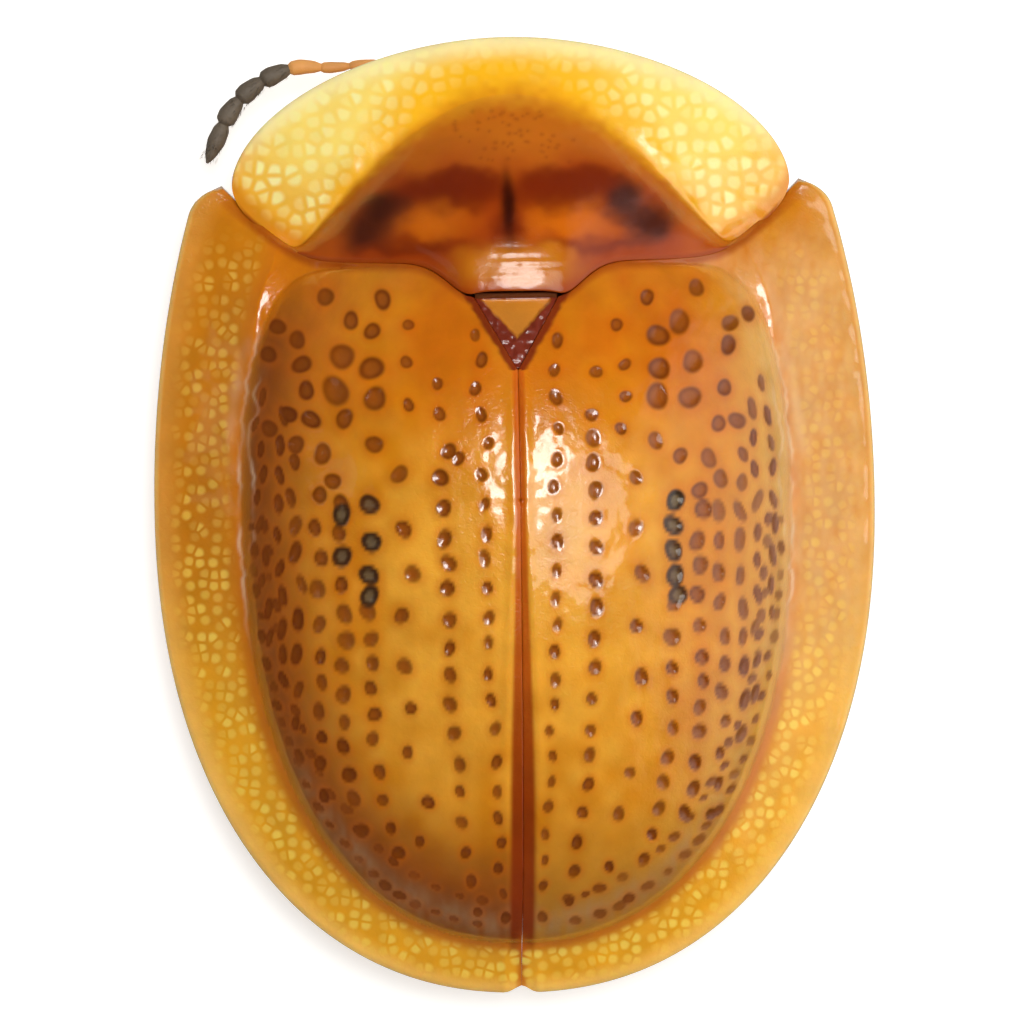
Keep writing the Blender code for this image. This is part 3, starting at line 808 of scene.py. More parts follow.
    def shield_z(self, x: Array, y: Array) -> Array:
        """Height of the neck shield: a shallow dish 1 - r^1.6 with the hood (1 - s^2.2)^1.25 on it.

        Args:
            x: Places across.
            y: Places along.

        Returns:
            The height.
        """
        across = np.abs(x) / self.shield_half
        along = np.minimum(y - self.shield_widest_y, 0) / self.shield_reach
        out = np.clip(np.hypot(across, along), 0, 1)
        dish = self.shield_rim_z + self.shield_rise * (1 - out**1.6)
        at_rear = self.shield_rim_z + self.shield_rise * (1 - np.clip(across, 0, 1) ** 1.6)
        lift = np.maximum(self.base_z(x, self.base_line(x)) - at_rear, 0)
        return dish + lift * (1 - np.clip(self.hood_share(x, y), 0, 1) ** 2.2) ** 1.25

    def thickness(self, outer_z: Array, rim_z: float) -> Array:
        """Wall under a height: full on the dome, thinning down the border to the rim."""
        share = np.clip((outer_z - rim_z) / (self.fold_z - rim_z), 0, 1)
        return self.rim_wall + (self.wall - self.rim_wall) * share**1.5


FORM = ShellForm()


def rounded_edge(distance: Array, radius: float) -> Array:
    """How far a surface drops near an edge that is rounded by a quarter circle of that radius."""
    inward = radius - np.clip(distance, 0, radius)
    return radius - np.sqrt(radius**2 - inward**2)


# Wing cases


@dataclass(frozen=True)
class PitRow:
    """One row of pits along a wing case, at a share of the way out to its edge that spreads to the rear."""

    share: float
    start: float
    end: float
    step: float
    width: float
    length: float
    depth: float = 0.030
    flare: float = 0.0
    spread: float = 0.0
    wander: float = 0.012


@dataclass(frozen=True)
class Pit:
    """One pit: its middle, half width, half length, depth, darkness, soot and lean."""

    x: float
    y: float
    width: float
    length: float
    depth: float
    tone: float = 1.0
    soot: float = 0.0
    lean: float = 0.0


PIT_ROWS = (
    PitRow(0.098, -1.30, 2.98, 0.205, 0.082, 0.112, 0.022, flare=0.014, spread=-0.16),
    PitRow(0.203, -0.55, 2.92, 0.200, 0.098, 0.118, 0.025, flare=0.030),
    PitRow(0.318, -0.35, 2.70, 0.340, 0.102, 0.118, 0.026, spread=0.06, wander=0.03),
    PitRow(0.418, 0.62, 2.52, 0.205, 0.112, 0.128, 0.032, spread=0.10),
    PitRow(0.492, -0.10, 2.40, 0.205, 0.112, 0.134, 0.032, spread=0.13, wander=0.016),
    PitRow(0.549, -0.25, 2.20, 0.215, 0.098, 0.136, 0.030, spread=0.17, wander=0.016),
    PitRow(0.612, -0.50, 1.80, 0.230, 0.082, 0.150, 0.028, spread=0.16),
    PitRow(0.656, -0.80, 1.35, 0.215, 0.066, 0.150, 0.026, spread=0.12),
    PitRow(0.702, -0.95, 0.90, 0.200, 0.052, 0.140, 0.022, spread=0.06),
)
SHOULDER_PITS = {
    Side.LEFT: (
        (0.172, ((1.26, -1.16), (1.05, -1.07), (1.31, -0.91), (1.03, -0.85))),
        (
            0.118,
            (
                *((1.37, -1.60), (0.96, -1.57), (1.19, -1.42), (1.04, -1.34), (1.58, -1.29), (1.72, -1.39)),
                *((1.79, -1.19), (1.55, -1.11), (1.52, -0.92), (1.65, -0.75), (1.49, -0.71), (1.25, -0.71)),
                *((1.04, -0.52), (1.60, -0.53), (1.41, -0.46), (1.79, -0.65), (1.34, -0.26)),
            ),
        ),
        (0.085, ((0.79, -0.80), (0.80, -1.11), (0.58, -0.95), (0.57, -0.73), (0.44, -0.41), (0.78, -1.38))),
    ),
    Side.RIGHT: (
        (0.158, ((1.18, -1.38), (1.02, -1.28), (1.27, -1.09), (1.02, -1.04), (1.24, -0.83), (1.00, -0.84))),
        (
            0.112,
            (
                *((0.95, -1.56), (1.32, -1.63), (1.56, -1.37), (1.54, -1.21), (1.70, -1.44), (1.50, -0.90)),
                *((1.45, -0.64), (1.59, -0.66), (0.98, -0.52), (1.16, -0.41), (1.37, -0.39), (1.30, -0.16)),
            ),
        ),
        (0.085, ((0.77, -1.07), (0.56, -1.02), (0.77, -0.84), (0.52, -0.71), (0.73, -0.61), (0.72, -1.36))),
    ),
}
SOOTY_PITS = {
    Side.LEFT: ((1.28, -0.02), (1.08, -0.09), (1.07, 0.18), (1.28, 0.28), (1.09, 0.42), (1.09, 0.57)),
    Side.RIGHT: ((1.12, -0.09), (1.10, 0.09), (1.10, 0.27), (1.11, 0.45), (1.13, 0.59)),
}


@dataclass
class WingCase:
    """One wing case: a domed amber plate with rows of pits and a clear border full of pale cells."""

    side: Side
    rows: int = 401
    columns: int = 209
    step: int = 8
    seed: int = 11
    edge_round: float = 0.05
    inner_round: float = 0.007
    seam_gap: float = 0.001
    notch: float = 0.055
    seam_front_half: float = 0.040
    seam_rear_half: float = 0.088
    slant: float = 0.02
    front_share: float = 0.46
    notch_share: float = 0.36
    crowding: float = 0.009
    rows_of_pits: tuple[PitRow, ...] = PIT_ROWS
    amber: Colour = (0.67, 0.235, 0.005)
    ochre: Colour = (0.83, 0.385, 0.036)
    orange: Colour = (0.60, 0.150, 0.002)
    flank: Colour = (0.27, 0.056, 0.004)
    # painted light: a lighter copy of the flank colour for the right side
    lit_flank: Colour = (0.70, 0.33, 0.020)
    fold: Colour = (0.66, 0.190, 0.004)
    border: Colour = (0.64, 0.215, 0.005)
    yellow: Colour = (0.90, 0.42, 0.018)
    rim: Colour = (0.98, 0.62, 0.18)
    # painted highlight colour of the glint lines along the fold
    painted_crease_glint: Colour = (0.92, 0.64, 0.42)
    pit_ring: Colour = (0.165, 0.030, 0.001)
    pit_core: Colour = (0.360, 0.090, 0.006)
    pit_halo: Colour = (0.60, 0.125, 0.001)
    # painted sheen colour of the pale band inside the dome's foot
    painted_sheen: Colour = (0.42, 0.24, 0.11)
    soot: Colour = (0.030, 0.020, 0.010)
    dust: Colour = (0.34, 0.24, 0.12)
    seam_front: Colour = (0.58, 0.115, 0.005)
    seam_rear: Colour = (0.27, 0.030, 0.001)
    maroon: Colour = (0.210, 0.024, 0.004)
    russet: Colour = (0.40, 0.072, 0.003)
    # painted reflection colour of the haze on the right side
    painted_reflection: Colour = (0.84, 0.54, 0.21)

    def plan(self) -> tuple[Array, Array]:
        """Places seen from above: a Coons patch in front, and rows that narrow like a cosine behind.

        Returns:
            x and y, from the base to the tail and from the seam outwards.
        """
        form = FORM
        front_rows = round(self.rows * self.front_share)
        v = np.linspace(0, 1, self.columns)
        v = v + self.crowding * np.sin(2 * math.pi * v)
        u = np.linspace(0, 1, front_rows)
        seam_x = self.seam_gap
        corner = np.array([form.scutellum_half + 0.006, form.scutellum_base_y])
        notch = np.array([seam_x, form.scutellum_tip_y + 0.02])
        turn = self.notch_share
        inner_x = np.where(u < turn, corner[0] + (notch[0] - corner[0]) * u / turn, seam_x)
        past = (u - turn) / (1 - turn)
        beside = corner[1] + (notch[1] - corner[1]) * u / turn
        inner_y = np.where(u < turn, beside, notch[1] + (form.widest_y - notch[1]) * past)
        outer_y = form.shoulder_y + (form.widest_y - form.shoulder_y) * u
        outer_x = form.side(outer_y)
        base_x = corner[0] + (outer_x[0] - corner[0]) * v
        base_y = form.base_line(base_x)
        base_y = base_y + v**4 * (form.shoulder_y - base_y[-1]) + (1 - v) ** 4 * (corner[1] - base_y[0])
        waist_x = seam_x + (form.half_width - seam_x) * v
        waist_y = np.full(self.columns, form.widest_y)
        sheet = []
        for inner, outer, base, waist in (
            (inner_x, outer_x, base_x, waist_x),
            (inner_y, outer_y, base_y, waist_y),
        ):
            ruled = inner[:, None] * (1 - v) + outer[:, None] * v
            across = base[None, :] * (1 - u)[:, None] + waist[None, :] * u[:, None]
            near = base[0] * (1 - u) + waist[0] * u
            far = base[-1] * (1 - u) + waist[-1] * u
            sheet.append(ruled + across - (near[:, None] * (1 - v) + far[:, None] * v))
        turn_back = np.linspace(0, math.pi / 2, self.rows - front_rows + 1)[1:]
        back_y = form.widest_y + (form.tail_y - form.widest_y) * np.sin(turn_back)
        back_x = seam_x + (form.side(back_y) - seam_x).clip(0)[:, None] * v
        x = np.vstack([sheet[0], back_x])
        y = np.vstack([sheet[1], np.repeat(back_y[:, None], self.columns, axis=1)])
        return x, y - self.notch * bell(x, 0, 0.07) * smooth_step(2.9, 3.4, y)

    def pits(self) -> list[Pit]:
        """All pits: those of the shoulder, the sooty ones, the rows and a fine row along the dome's foot.

        Returns:
            The pits of this side.
        """
        draw = np.random.default_rng(self.seed + self.side.value)
        found = []
        for size, places in SHOULDER_PITS[self.side]:
            for x, y in places:
                width = size / 2 * draw.uniform(0.92, 1.08)
                long = width * draw.uniform(1.0, 1.22)
                tone = draw.uniform(0.8, 1.0)
                found.append(Pit(x, y, width, long, 0.2 * size, tone, 0.0, draw.normal(0, 0.4)))
        for x, y in SOOTY_PITS[self.side]:
            found.append(Pit(x, y, 0.064, 0.074, 0.034, 1.0, draw.uniform(0.75, 1.0), draw.normal(0, 0.2)))
        for row in self.rows_of_pits:
            y = row.start + draw.uniform(0, 0.5) * row.step
            while y < row.end:
                front = float(np.clip(-y / 1.4, 0, 1))
                back = float(smooth_step(0.4, 2.4, np.array(y)))
                share = (row.share + row.flare * front**2) * (1 + row.spread * back)
                x = share * float(FORM.side(np.array(y))) + draw.normal(0, row.wander * (1 + 1.5 * front))
                size = draw.uniform(0.84, 1.14) * (1 - 0.22 * back)
                lean = draw.normal(0.0, 0.2) + 0.45 * back * row.share / 0.7
                half = (row.width * size / 2, row.length * size / 2)
                depth = row.depth * draw.uniform(0.8, 1.2)
                found.append(Pit(x, y, *half, depth, draw.uniform(0.72, 1.0), 0.0, lean))
                y += row.step * draw.uniform(0.84, 1.18)
        return found + self.foot_pits(draw)

    def foot_pits(self, draw: np.random.Generator) -> list[Pit]:
        """Two fine rows that follow the dome's foot from the side round to the tail.

        Args:
            draw: The side's random draw.

        Returns:
            The pits.
        """
        form = FORM
        found = []
        for share, gap in ((0.962, 0.058), (0.905, 0.066)):
            turn = 0.05
            while turn < 1.46:
                fold = form.dome_share + form.dome_spread * math.sin(turn) ** 2
                x = form.half_width * share * fold * math.cos(turn) ** 0.91
                y = form.widest_y + (form.tail_y - form.widest_y) * share * fold * math.sin(turn) ** 0.91
                size = draw.uniform(0.022, 0.036)
                x += draw.normal(0, 0.012)
                found.append(Pit(x, y, size, size * 1.5, 0.014, draw.uniform(0.5, 0.9), 0.0, turn))
                turn += gap * draw.uniform(0.8, 1.3)
        return found

    def sink_pits(self, x: Array, y: Array) -> dict[str, Array]:
        """Marks left by the pits: each is an ellipse with depth (1 - r^2)^1.5 and a low rim round it.

        Args:
            x: Places across.
            y: Places along.

        Returns:
            At each place, the depth and the strength of the pits' ring, core, halo, soot and dust.
        """
        marks = {name: np.zeros_like(x) for name in ("depth", "ring", "core", "halo", "soot", "dust")}
        row_y = y.mean(axis=1)
        for pit in self.pits():
            near = np.flatnonzero(np.abs(row_y - pit.y) < 0.6)
            part = slice(near[0], near[-1] + 1)
            dx, dy = x[part] - pit.x, y[part] - pit.y
            cos, sin = math.cos(pit.lean), math.sin(pit.lean)
            out = np.hypot((dx * cos + dy * sin) / pit.width, (dy * cos - dx * sin) / pit.length)
            turn = np.arctan2(dy, dx)
            phase = 40 * pit.x + 25 * pit.y
            out = out * (1 + 0.08 * np.cos(2 * turn + phase) + 0.03 * np.cos(3 * turn + 1.7 * phase))
            rim = 0.08 * bell(out, 1.2, 0.25)
            shapes = {
                "depth": 0.72 * pit.depth * (np.clip(1 - out**2, 0, 1) ** 1.6 - rim),
                "ring": pit.tone * smooth_step(1.22, 0.80, out),
                "core": smooth_step(0.86, 0.36, out),
                "halo": 0.85 * pit.tone * smooth_step(2.3, 0.9, out),
                "soot": pit.soot * smooth_step(1.25, 0.85, out),
                "dust": pit.soot * smooth_step(0.66, 0.35, out),
            }
            for name, shape in shapes.items():
                known = marks[name][part]
                marks[name][part] = np.where(np.abs(shape) > np.abs(known), shape, known)
        return marks

    def build(self) -> bpy.types.Object:
        """Shapes and colours the wing case.

        Returns:
            The closed plate.
        """
        form = FORM
        x, y = self.plan()
        share, border, _ = form.zones(x, y)
        plain = form.wing_z(x, y)
        marks = self.sink_pits(x, y)
        on_dome = smooth_step(1.01, 0.97, share)
        front_side = smooth_step(-1.9, -1.3, y) * smooth_step(0.9, -0.2, y)
        near_fold = bell(share, 1.02, 0.045) * smooth_step(-1.9, -1.3, y)
        gutter = bell(share, 1.018, 0.032) * smooth_step(-1.7, -0.9, y) * smooth_step(0.0, 0.15, x)
        fine = value_noise(x, y, (0.11, 0.15), 61) + 0.45 * value_noise(x, y, (0.045, 0.06), 62)
        ripple = value_noise(x, y, (0.10, 0.24), self.seed) + 0.6 * value_noise(x, y, (0.05, 0.10), 5)
        shoulder = blob(x, y, (1.74, -1.42), (0.13, 0.26))
        beside = blob(x, y, (1.50, -1.30), (0.16, 0.30))
        hollow = blob(x, y, (0.62, -1.25), (0.35, 0.22))
        behind_tip = smooth_step(-1.15, -0.8, y)
        back = smooth_step(-0.2, 1.6, y)
        ridge = bell(x - 0.045 - 0.075 * back, 0, 0.035) * behind_tip
        trough = np.exp(-((x / (0.03 + 0.03 * back)) ** 2)) * behind_tip
        swell = value_noise(x, y, (0.45, 0.9), 3 + self.seed)
        z = plain + 0.014 * ridge - 0.008 * trough + 0.02 * shoulder - 0.02 * beside - 0.02 * hollow
        corner = blob(x, y, (1.50, -1.62), (0.34, 0.22))
        z = z + (0.010 * swell + (0.0048 + 0.010 * corner) * fine) * on_dome - 0.016 * gutter
        z = z + (0.005 + 0.010 * front_side) * ripple * near_fold
        pucker = value_noise(x, y, (0.30, 0.36), 8 + self.seed) * bell(border, 0.30, 0.2)
        bubbles = value_noise(x, y, (0.07, 0.10), 9 + self.seed)
        in_border = smooth_step(0.0, 0.1, border)
        z = z + (0.014 * pucker + 0.0035 * bubbles) * in_border - marks["depth"] * on_dome
        around = np.hypot(x, y - form.widest_y)
        outer = np.where(y > form.widest_y, (1 - form.reach_out(x, y)) * around, form.side(y) - x)
        from_base = y - form.base_line(x)
        beside_seam = rounded_edge(x, self.inner_round) * smooth_step(3.2, 3.0, y)
        z = z - rounded_edge(outer, self.edge_round) - beside_seam
        z = z - rounded_edge(from_base, 0.003) * (x > form.scutellum_half)
        pigment = self.colours(x, y, share, border, {name: mark * on_dome for name, mark in marks.items()})
        reach = 0.92 + 0.06 * smooth_step(2.2, 3.0, y)
        cells = smooth_step(0.08, 0.24, border) * smooth_step(reach, reach - 0.35, border) * (share >= 1)
        cells = cells * (0.50 + 0.45 * smooth_step(-0.8, 1.4, y)) * smooth_step(-2.2, -1.7, y)
        if self.side is Side.RIGHT:
            cells = cells * (1 - 0.55 * smooth_step(1.7, 0.5, y))
        mirror = self.side.value
        upper = np.stack([mirror * x, y, z], axis=-1)
        few = every(self.step)
        under_z = (plain - form.thickness(plain, form.rim_z))[few]
        shift = self.slant * smooth_step(0.3, 0.0, from_base[few]) * (x[few] > form.scutellum_half)
        under_x = mirror * x[few] - 0.3 * self.slant * (x[few] < 0.01)
        lower = np.stack([under_x, y[few] - shift, under_z], axis=-1)
        name = f"wing_case_{self.side.word}_shell"
        return plate(name, upper, lower, self.step, pigment, cells, (0.55, 0.22, 0.02))

    def colours(self, x: Array, y: Array, share: Array, border: Array, marks: dict[str, Array]) -> Array:
        """Amber on the dome, browner on its flank with a painted lit copy on the right side, orange at the
        fold and golden on the border, with painted highlights, sheen and reflection.

        Args:
            x: Places across.
            y: Places along.
            share: How far out on the dome.
            border: How far out on the border.
            marks: The strength of the pits' parts.

        Returns:
            The colours.
        """
        form = FORM
        cloud = value_noise(x, y, (0.5, 0.7), 21 + self.seed)
        mottle = value_noise(x, y, (0.13, 0.17), 22 + self.seed)
        middle = blob(x, y, (0.45, 0.75), (0.75, 1.5), 1.4) + 0.25 * mottle
        tone = mix(self.amber, self.ochre, np.clip(0.85 * middle + 0.15 * mottle, 0, 1))
        patchy = np.clip(0.70 + 0.5 * cloud + 0.3 * mottle, 0, 1)
        tone = mix(tone, self.orange, smooth_step(-0.2, -1.2, y) * patchy)
        # painted light: the right side's flank takes the lighter, lit copy
        flank = self.flank if self.side is Side.LEFT else self.lit_flank
        tone = mix(tone, flank, 0.92 * smooth_step(0.70, 0.95, share) * smooth_step(-1.9, -1.2, y))
        tone = mix(tone, self.flank, 0.45 * smooth_step(1.9, 2.9, y))
        outside = share >= 1
        edge_tone = mix(self.fold, self.border, smooth_step(0.02, 0.20, border))
        tone = np.where(outside[..., None], edge_tone, tone)
        tone = mix(tone, self.fold, bell(share, 1.006, 0.016) * 0.7)
        golden = 0.85 * smooth_step(0.0, 1.6, y) * smooth_step(0.06, 0.3, border)
        tone = mix(tone, self.yellow, golden * outside)
        streak = value_noise(x, y, (0.05, 0.16), 24) + 0.5 * value_noise(x, y, (0.03, 0.05), 25)
        # painted sheen: a pale streaky band inside the dome's foot, strongest towards the tail
        tail_sheen = bell(share, 0.955, 0.035) * np.clip(0.7 + 0.35 * streak, 0, 1)
        tail_sheen = tail_sheen * (0.12 + 0.50 * smooth_step(1.4, 2.4, y)) * smooth_step(-1.6, -1.0, y)
        tone = mix(tone, self.painted_sheen, tail_sheen)
        clear = smooth_step(0.60, 0.98, border) * outside
        tone = mix(tone, self.rim, clear * (0.20 + 0.4 * smooth_step(-0.5, 2.4, y)))
        tone = mix(tone, self.rim, smooth_step(0.93, 1.0, border) * outside * 0.8)
        # painted highlight: pale glint lines and a faint sheen along the front of the fold
        tone = mix(tone, self.painted_crease_glint, 0.62 * self.crease_highlights(x, y, share))
        # painted reflection: a pale haze over the right flank and the inner border
        if self.side is Side.RIGHT:
            reflection_share = smooth_step(0.86, 0.98, share) * smooth_step(-2.3, -1.6, y) * smooth_step(1.9, 0.6, y)
            reflection_share = 0.42 * reflection_share * np.clip(0.8 + 0.35 * streak, 0, 1)
            tone = mix(tone, self.painted_reflection, reflection_share * smooth_step(1.0, 0.8, border))
        tone = mix(tone, self.pit_halo, 0.50 * marks["halo"])
        tone = mix(tone, self.pit_ring, 0.95 * marks["ring"])
        tone = mix(tone, self.pit_core, (0.80 - 0.55 * smooth_step(0.70, 0.85, share)) * marks["core"])
        tone = mix(tone, self.soot, 0.92 * marks["soot"])
        tone = mix(tone, self.dust, 0.40 * marks["dust"])
        back = smooth_step(0.0, 2.2, y)
        half = self.seam_front_half + (self.seam_rear_half - self.seam_front_half) * back
        band = smooth_step(1.25, 0.75, x / half) * smooth_step(3.25, 3.05, y)
        tone = mix(tone, mix(self.seam_front, self.seam_rear, back), band * 0.95)
        tone = mix(tone, self.seam_front, 0.8 * smooth_step(0.06, 0.0, x) * smooth_step(3.00, 3.15, y))
        from_base = y - form.base_line(x)
        base = smooth_step(0.085, 0.015, from_base) * smooth_step(2.3, 1.8, x)
        tone = mix(tone, self.russet, 0.85 * base)
        ahead = np.clip(form.scutellum_tip_y + 0.02 - y, 0, 1)
        side = np.abs(x - ahead * form.scutellum_half / 0.51)
        rough = 0.012 * value_noise(x, y, (0.04, 0.04), 23)
        near = smooth_step(0.075, 0.035, side + rough) * (ahead > 0) * (from_base > -0.3) * (x < 0.42)
        return mix(tone, self.maroon, near * 0.95)

    def crease_highlights(self, x: Array, y: Array, share: Array) -> Array:
        """Painted highlights: two thin wavy pale glint lines along the front of the fold, and a faint
        painted sheen outside them.

        Args:
            x: Places across.
            y: Places along.
            share: How far out on the dome.

        Returns:
            Their strength.
        """
        level = 0 * x
        wave = value_noise(level, y, (1.0, 0.10), 71 + self.seed)
        wave = wave + 0.5 * value_noise(level, y, (1.0, 0.04), 72)
        other = value_noise(level, y, (1.0, 0.13), 73 + self.seed)
        other = other + 0.4 * value_noise(level, y, (1.0, 0.05), 74)
        patchy = np.clip(0.75 + 0.7 * value_noise(x, y, (0.5, 0.16), 75 + self.seed), 0, 1)
        first = bell(share - 1.004 - 0.008 * wave, 0, 0.0065) * smooth_step(-1.5, -1.2, y)
        second = bell(share - 0.966 - 0.014 * other, 0, 0.0060) * smooth_step(-1.1, -0.8, y)
        faint_sheen = 0.5 * bell(share, 1.045, 0.022) * smooth_step(-1.4, -1.0, y) * smooth_step(-0.2, -0.7, y)
        lines = first * smooth_step(1.1, 0.4, y) + second * smooth_step(0.3, 0.0, y)
        return np.clip((lines + faint_sheen) * patchy, 0, 1)

    def dress(self, piece: bpy.types.Object) -> None:
        """Gives the wing case its glossy amber finish."""
        dress(piece, WING_CASE_FINISH, "amber_shell", f"wing_case_{self.side.word}")


# Neck shield and scutellum


@dataclass(frozen=True)
class Patch:
    """A soft patch of colour on the hood: its middle, its radii, its colour, strength and crispness."""

    centre: tuple[float, float]
    radii: tuple[float, float]
    tone: Colour
    strength: float = 0.9
    power: float = 1.3

    def over(self, tone: Array, x: Array, y: Array) -> Array:
        """The colours with this patch laid over them."""
        return mix(tone, self.tone, self.strength * blob(x, y, self.centre, self.radii, self.power))


DARK, BLACK, PLUM = (0.180, 0.016, 0.001), (0.035, 0.004, 0.001), (0.060, 0.010, 0.005)
# the last of these is a painted sheen colour
WARM, HONEY, HOOD_SHEEN = (0.60, 0.130, 0.002), (0.62, 0.22, 0.008), (0.58, 0.22, 0.05)
HOOD_PATCHES = (
    Patch((0.47, -2.34), (0.46, 0.185), DARK, 0.97, 3.6),
    Patch((-0.42, -2.35), (0.48, 0.185), DARK, 0.97, 3.6),
    Patch((0.60, -2.11), (0.29, 0.14), WARM, 0.97),
    Patch((-0.40, -2.10), (0.34, 0.15), WARM, 0.97),
    Patch((0.68, -1.95), (0.40, 0.06), DARK, 0.75),
    Patch((-0.60, -1.94), (0.42, 0.06), DARK, 0.75),
    Patch((0.94, -2.24), (0.17, 0.15), PLUM, 0.95, 1.6),
    Patch((1.10, -2.08), (0.24, 0.15), PLUM, 0.92, 1.4),
    Patch((-0.83, -2.27), (0.15, 0.15), PLUM, 0.95, 1.6),
    Patch((-0.99, -2.10), (0.19, 0.16), PLUM, 0.95, 1.4),
    Patch((0.03, -2.08), (0.11, 0.17), DARK, 0.9),
    Patch((0.0, -1.79), (0.46, 0.17), HONEY, 0.80, 2.2),
    # painted shadow: the feeler's shade seen through the clear border
    Patch((0.55, -3.30), (0.42, 0.030), (0.84, 0.46, 0.03), 0.5),
)
MIDLINE = Patch((0.045, -2.23), (0.048, 0.26), BLACK, 0.97, 1.5)


@dataclass
class NeckShield:
    """The wide plate over the head: a rusty hood inside a golden border full of pale cells."""

    rows: int = 209
    columns: int = 393
    step: int = 8
    edge_round: float = 0.045
    lobe: float = 0.035
    slant: float = 0.02
    dots: int = 60
    golden: Colour = (0.98, 0.50, 0.012)
    pale: Colour = (1.0, 0.71, 0.16)
    amber: Colour = (0.56, 0.140, 0.002)
    rust: Colour = (0.36, 0.048, 0.002)
    edge_tone: Colour = (0.34, 0.055, 0.003)

    def build(self) -> bpy.types.Object:
        """Shapes and colours the shield, as columns from its front to its rear edge.

        Returns:
            The closed plate.
        """
        form = FORM
        across = np.sin(np.linspace(-math.pi / 2, math.pi / 2, self.columns)) * form.shield_half
        down = np.linspace(0, 1, self.rows)[:, None]
        down = down - 0.02 * np.sin(2 * math.pi * down)
        front = form.shield_front(across)
        rear = form.shield_rear(across) - self.lobe * np.exp(-((across / 0.33) ** 6))
        y = front + (rear - front) * down
        x = np.repeat(across[None, :], self.rows, axis=0)
        plain = form.shield_z(x, y)
        hood = form.hood_share(x, y)
        border = bell(hood, 1.05, 0.16) * smooth_step(1.6, 1.3, np.abs(x))
        z = plain - 0.012 * border + 0.006 * value_noise(x, y, (0.30, 0.30), 31)
        z = z + 0.004 * value_noise(x, y, (0.09, 0.08), 32) * smooth_step(1.0, 1.2, hood)
        for centre in ((1.06, -2.14), (-0.97, -2.20)):
            z = z - 0.045 * blob(x, y, centre, (0.17, 0.15))
        to_rear = rear - y
        lip = bell(to_rear, 0.035, 0.025) - 0.7 * bell(to_rear, 0.10, 0.035)
        z = z + 0.005 * lip * smooth_step(0.25, 0.6, np.abs(x)) * smooth_step(2.0, 1.7, np.abs(x))
        crinkle = value_noise(x, y, (0.10, 0.10), 33) + 0.45 * value_noise(x, y, (0.045, 0.045), 34)
        z = z + 0.003 * crinkle * smooth_step(1.1, 0.9, hood)
        streaks = value_noise(x, y, (0.30, 0.035), 35) * blob(x, y, (0.0, -1.80), (0.42, 0.14))
        z = z + 0.004 * streaks
        z = z - rounded_edge((y - front) * 0.8, self.edge_round) - rounded_edge(to_rear, 0.003)
        pigment = self.colours(x, y, hood, front, to_rear)
        clear = smooth_step(1.04, 1.22, hood)
        cells = clear * smooth_step(0.0, 0.06, y - front) * smooth_step(0.06, 0.32, to_rear)
        cells = cells * (0.30 + 0.70 * smooth_step(1.1, 1.8, hood))
        upper = np.stack([x, y, z], axis=-1)
        few = every(self.step)
        under_z = (plain - form.thickness(plain, form.shield_rim_z))[few]
        shift = self.slant * smooth_step(0.3, 0.0, to_rear[few])
        lower = np.stack([x[few], y[few] - shift, under_z], axis=-1)
        return plate("neck_shield_plate", upper, lower, self.step, pigment, cells, (0.72, 0.38, 0.03))

    def colours(self, x: Array, y: Array, hood: Array, front: Array, to_rear: Array) -> Array:
        """Rust and amber on the hood with dark patches and a painted sheen near its edge, and gold to pale
        yellow on the border with the feeler's painted shadow.

        Args:
            x: Places across.
            y: Places along.
            hood: How far out on the hood, one at its edge.
            front: y of the front edge.
            to_rear: How far it is to the rear edge.

        Returns:
            The colours.
        """
        cloud = value_noise(x, y, (0.22, 0.16), 41)
        fine = value_noise(x, y, (0.06, 0.05), 42)
        warp_x = x + 0.05 * value_noise(x, y, (0.15, 0.12), 43) + 0.015 * fine
        warp_y = y + 0.04 * value_noise(x, y, (0.13, 0.12), 44) + 0.012 * fine
        tone = mix(self.amber, self.rust, smooth_step(-2.85, -2.35, y + 0.08 * cloud))
        # painted sheen: a pale band just inside the hood's edge, stronger on the right side
        sheen_band = bell(hood, 0.86, 0.08) * smooth_step(1.30, 0.9, np.abs(x)) * smooth_step(0.2, 0.6, np.abs(x))
        tone = mix(tone, HOOD_SHEEN, (0.05 + 0.20 * (x < 0)) * sheen_band * np.clip(0.6 + cloud + 0.5 * fine, 0, 1))
        for patch in HOOD_PATCHES:
            tone = patch.over(tone, warp_x, warp_y)
        tone = mix(tone, (0.26, 0.045, 0.002), 0.50 * self.punctures(x, y))
        tone = MIDLINE.over(tone, 0.75 * x + 0.25 * warp_x, y)
        flank = smooth_step(1.10, 1.35, np.abs(x)) * smooth_step(-2.5, -2.1, y)
        tone = mix(tone, (0.46, 0.085, 0.002), 0.7 * flank)
        reach = smooth_step(1.05, 1.9, hood) * smooth_step(0.0, 0.35, to_rear)
        gold = mix(self.golden, self.pale, np.clip(reach + 0.1 * cloud, 0, 1))
        gold = mix(gold, (1.0, 0.86, 0.45), 0.8 * smooth_step(0.22, 0.02, y - front))
        gold = mix(gold, (0.86, 0.42, 0.020), smooth_step(0.85, 0.30, to_rear) * 0.70)
        gold = mix(gold, (0.70, 0.24, 0.008), smooth_step(0.28, 0.05, to_rear) * 0.85)
        tone = mix(tone, gold, smooth_step(0.88, 1.14, hood + 0.02 * fine))
        edge = smooth_step(0.045, 0.008, to_rear) * smooth_step(2.03, 1.9, np.abs(x))
        return mix(tone, self.edge_tone, edge * 0.85)

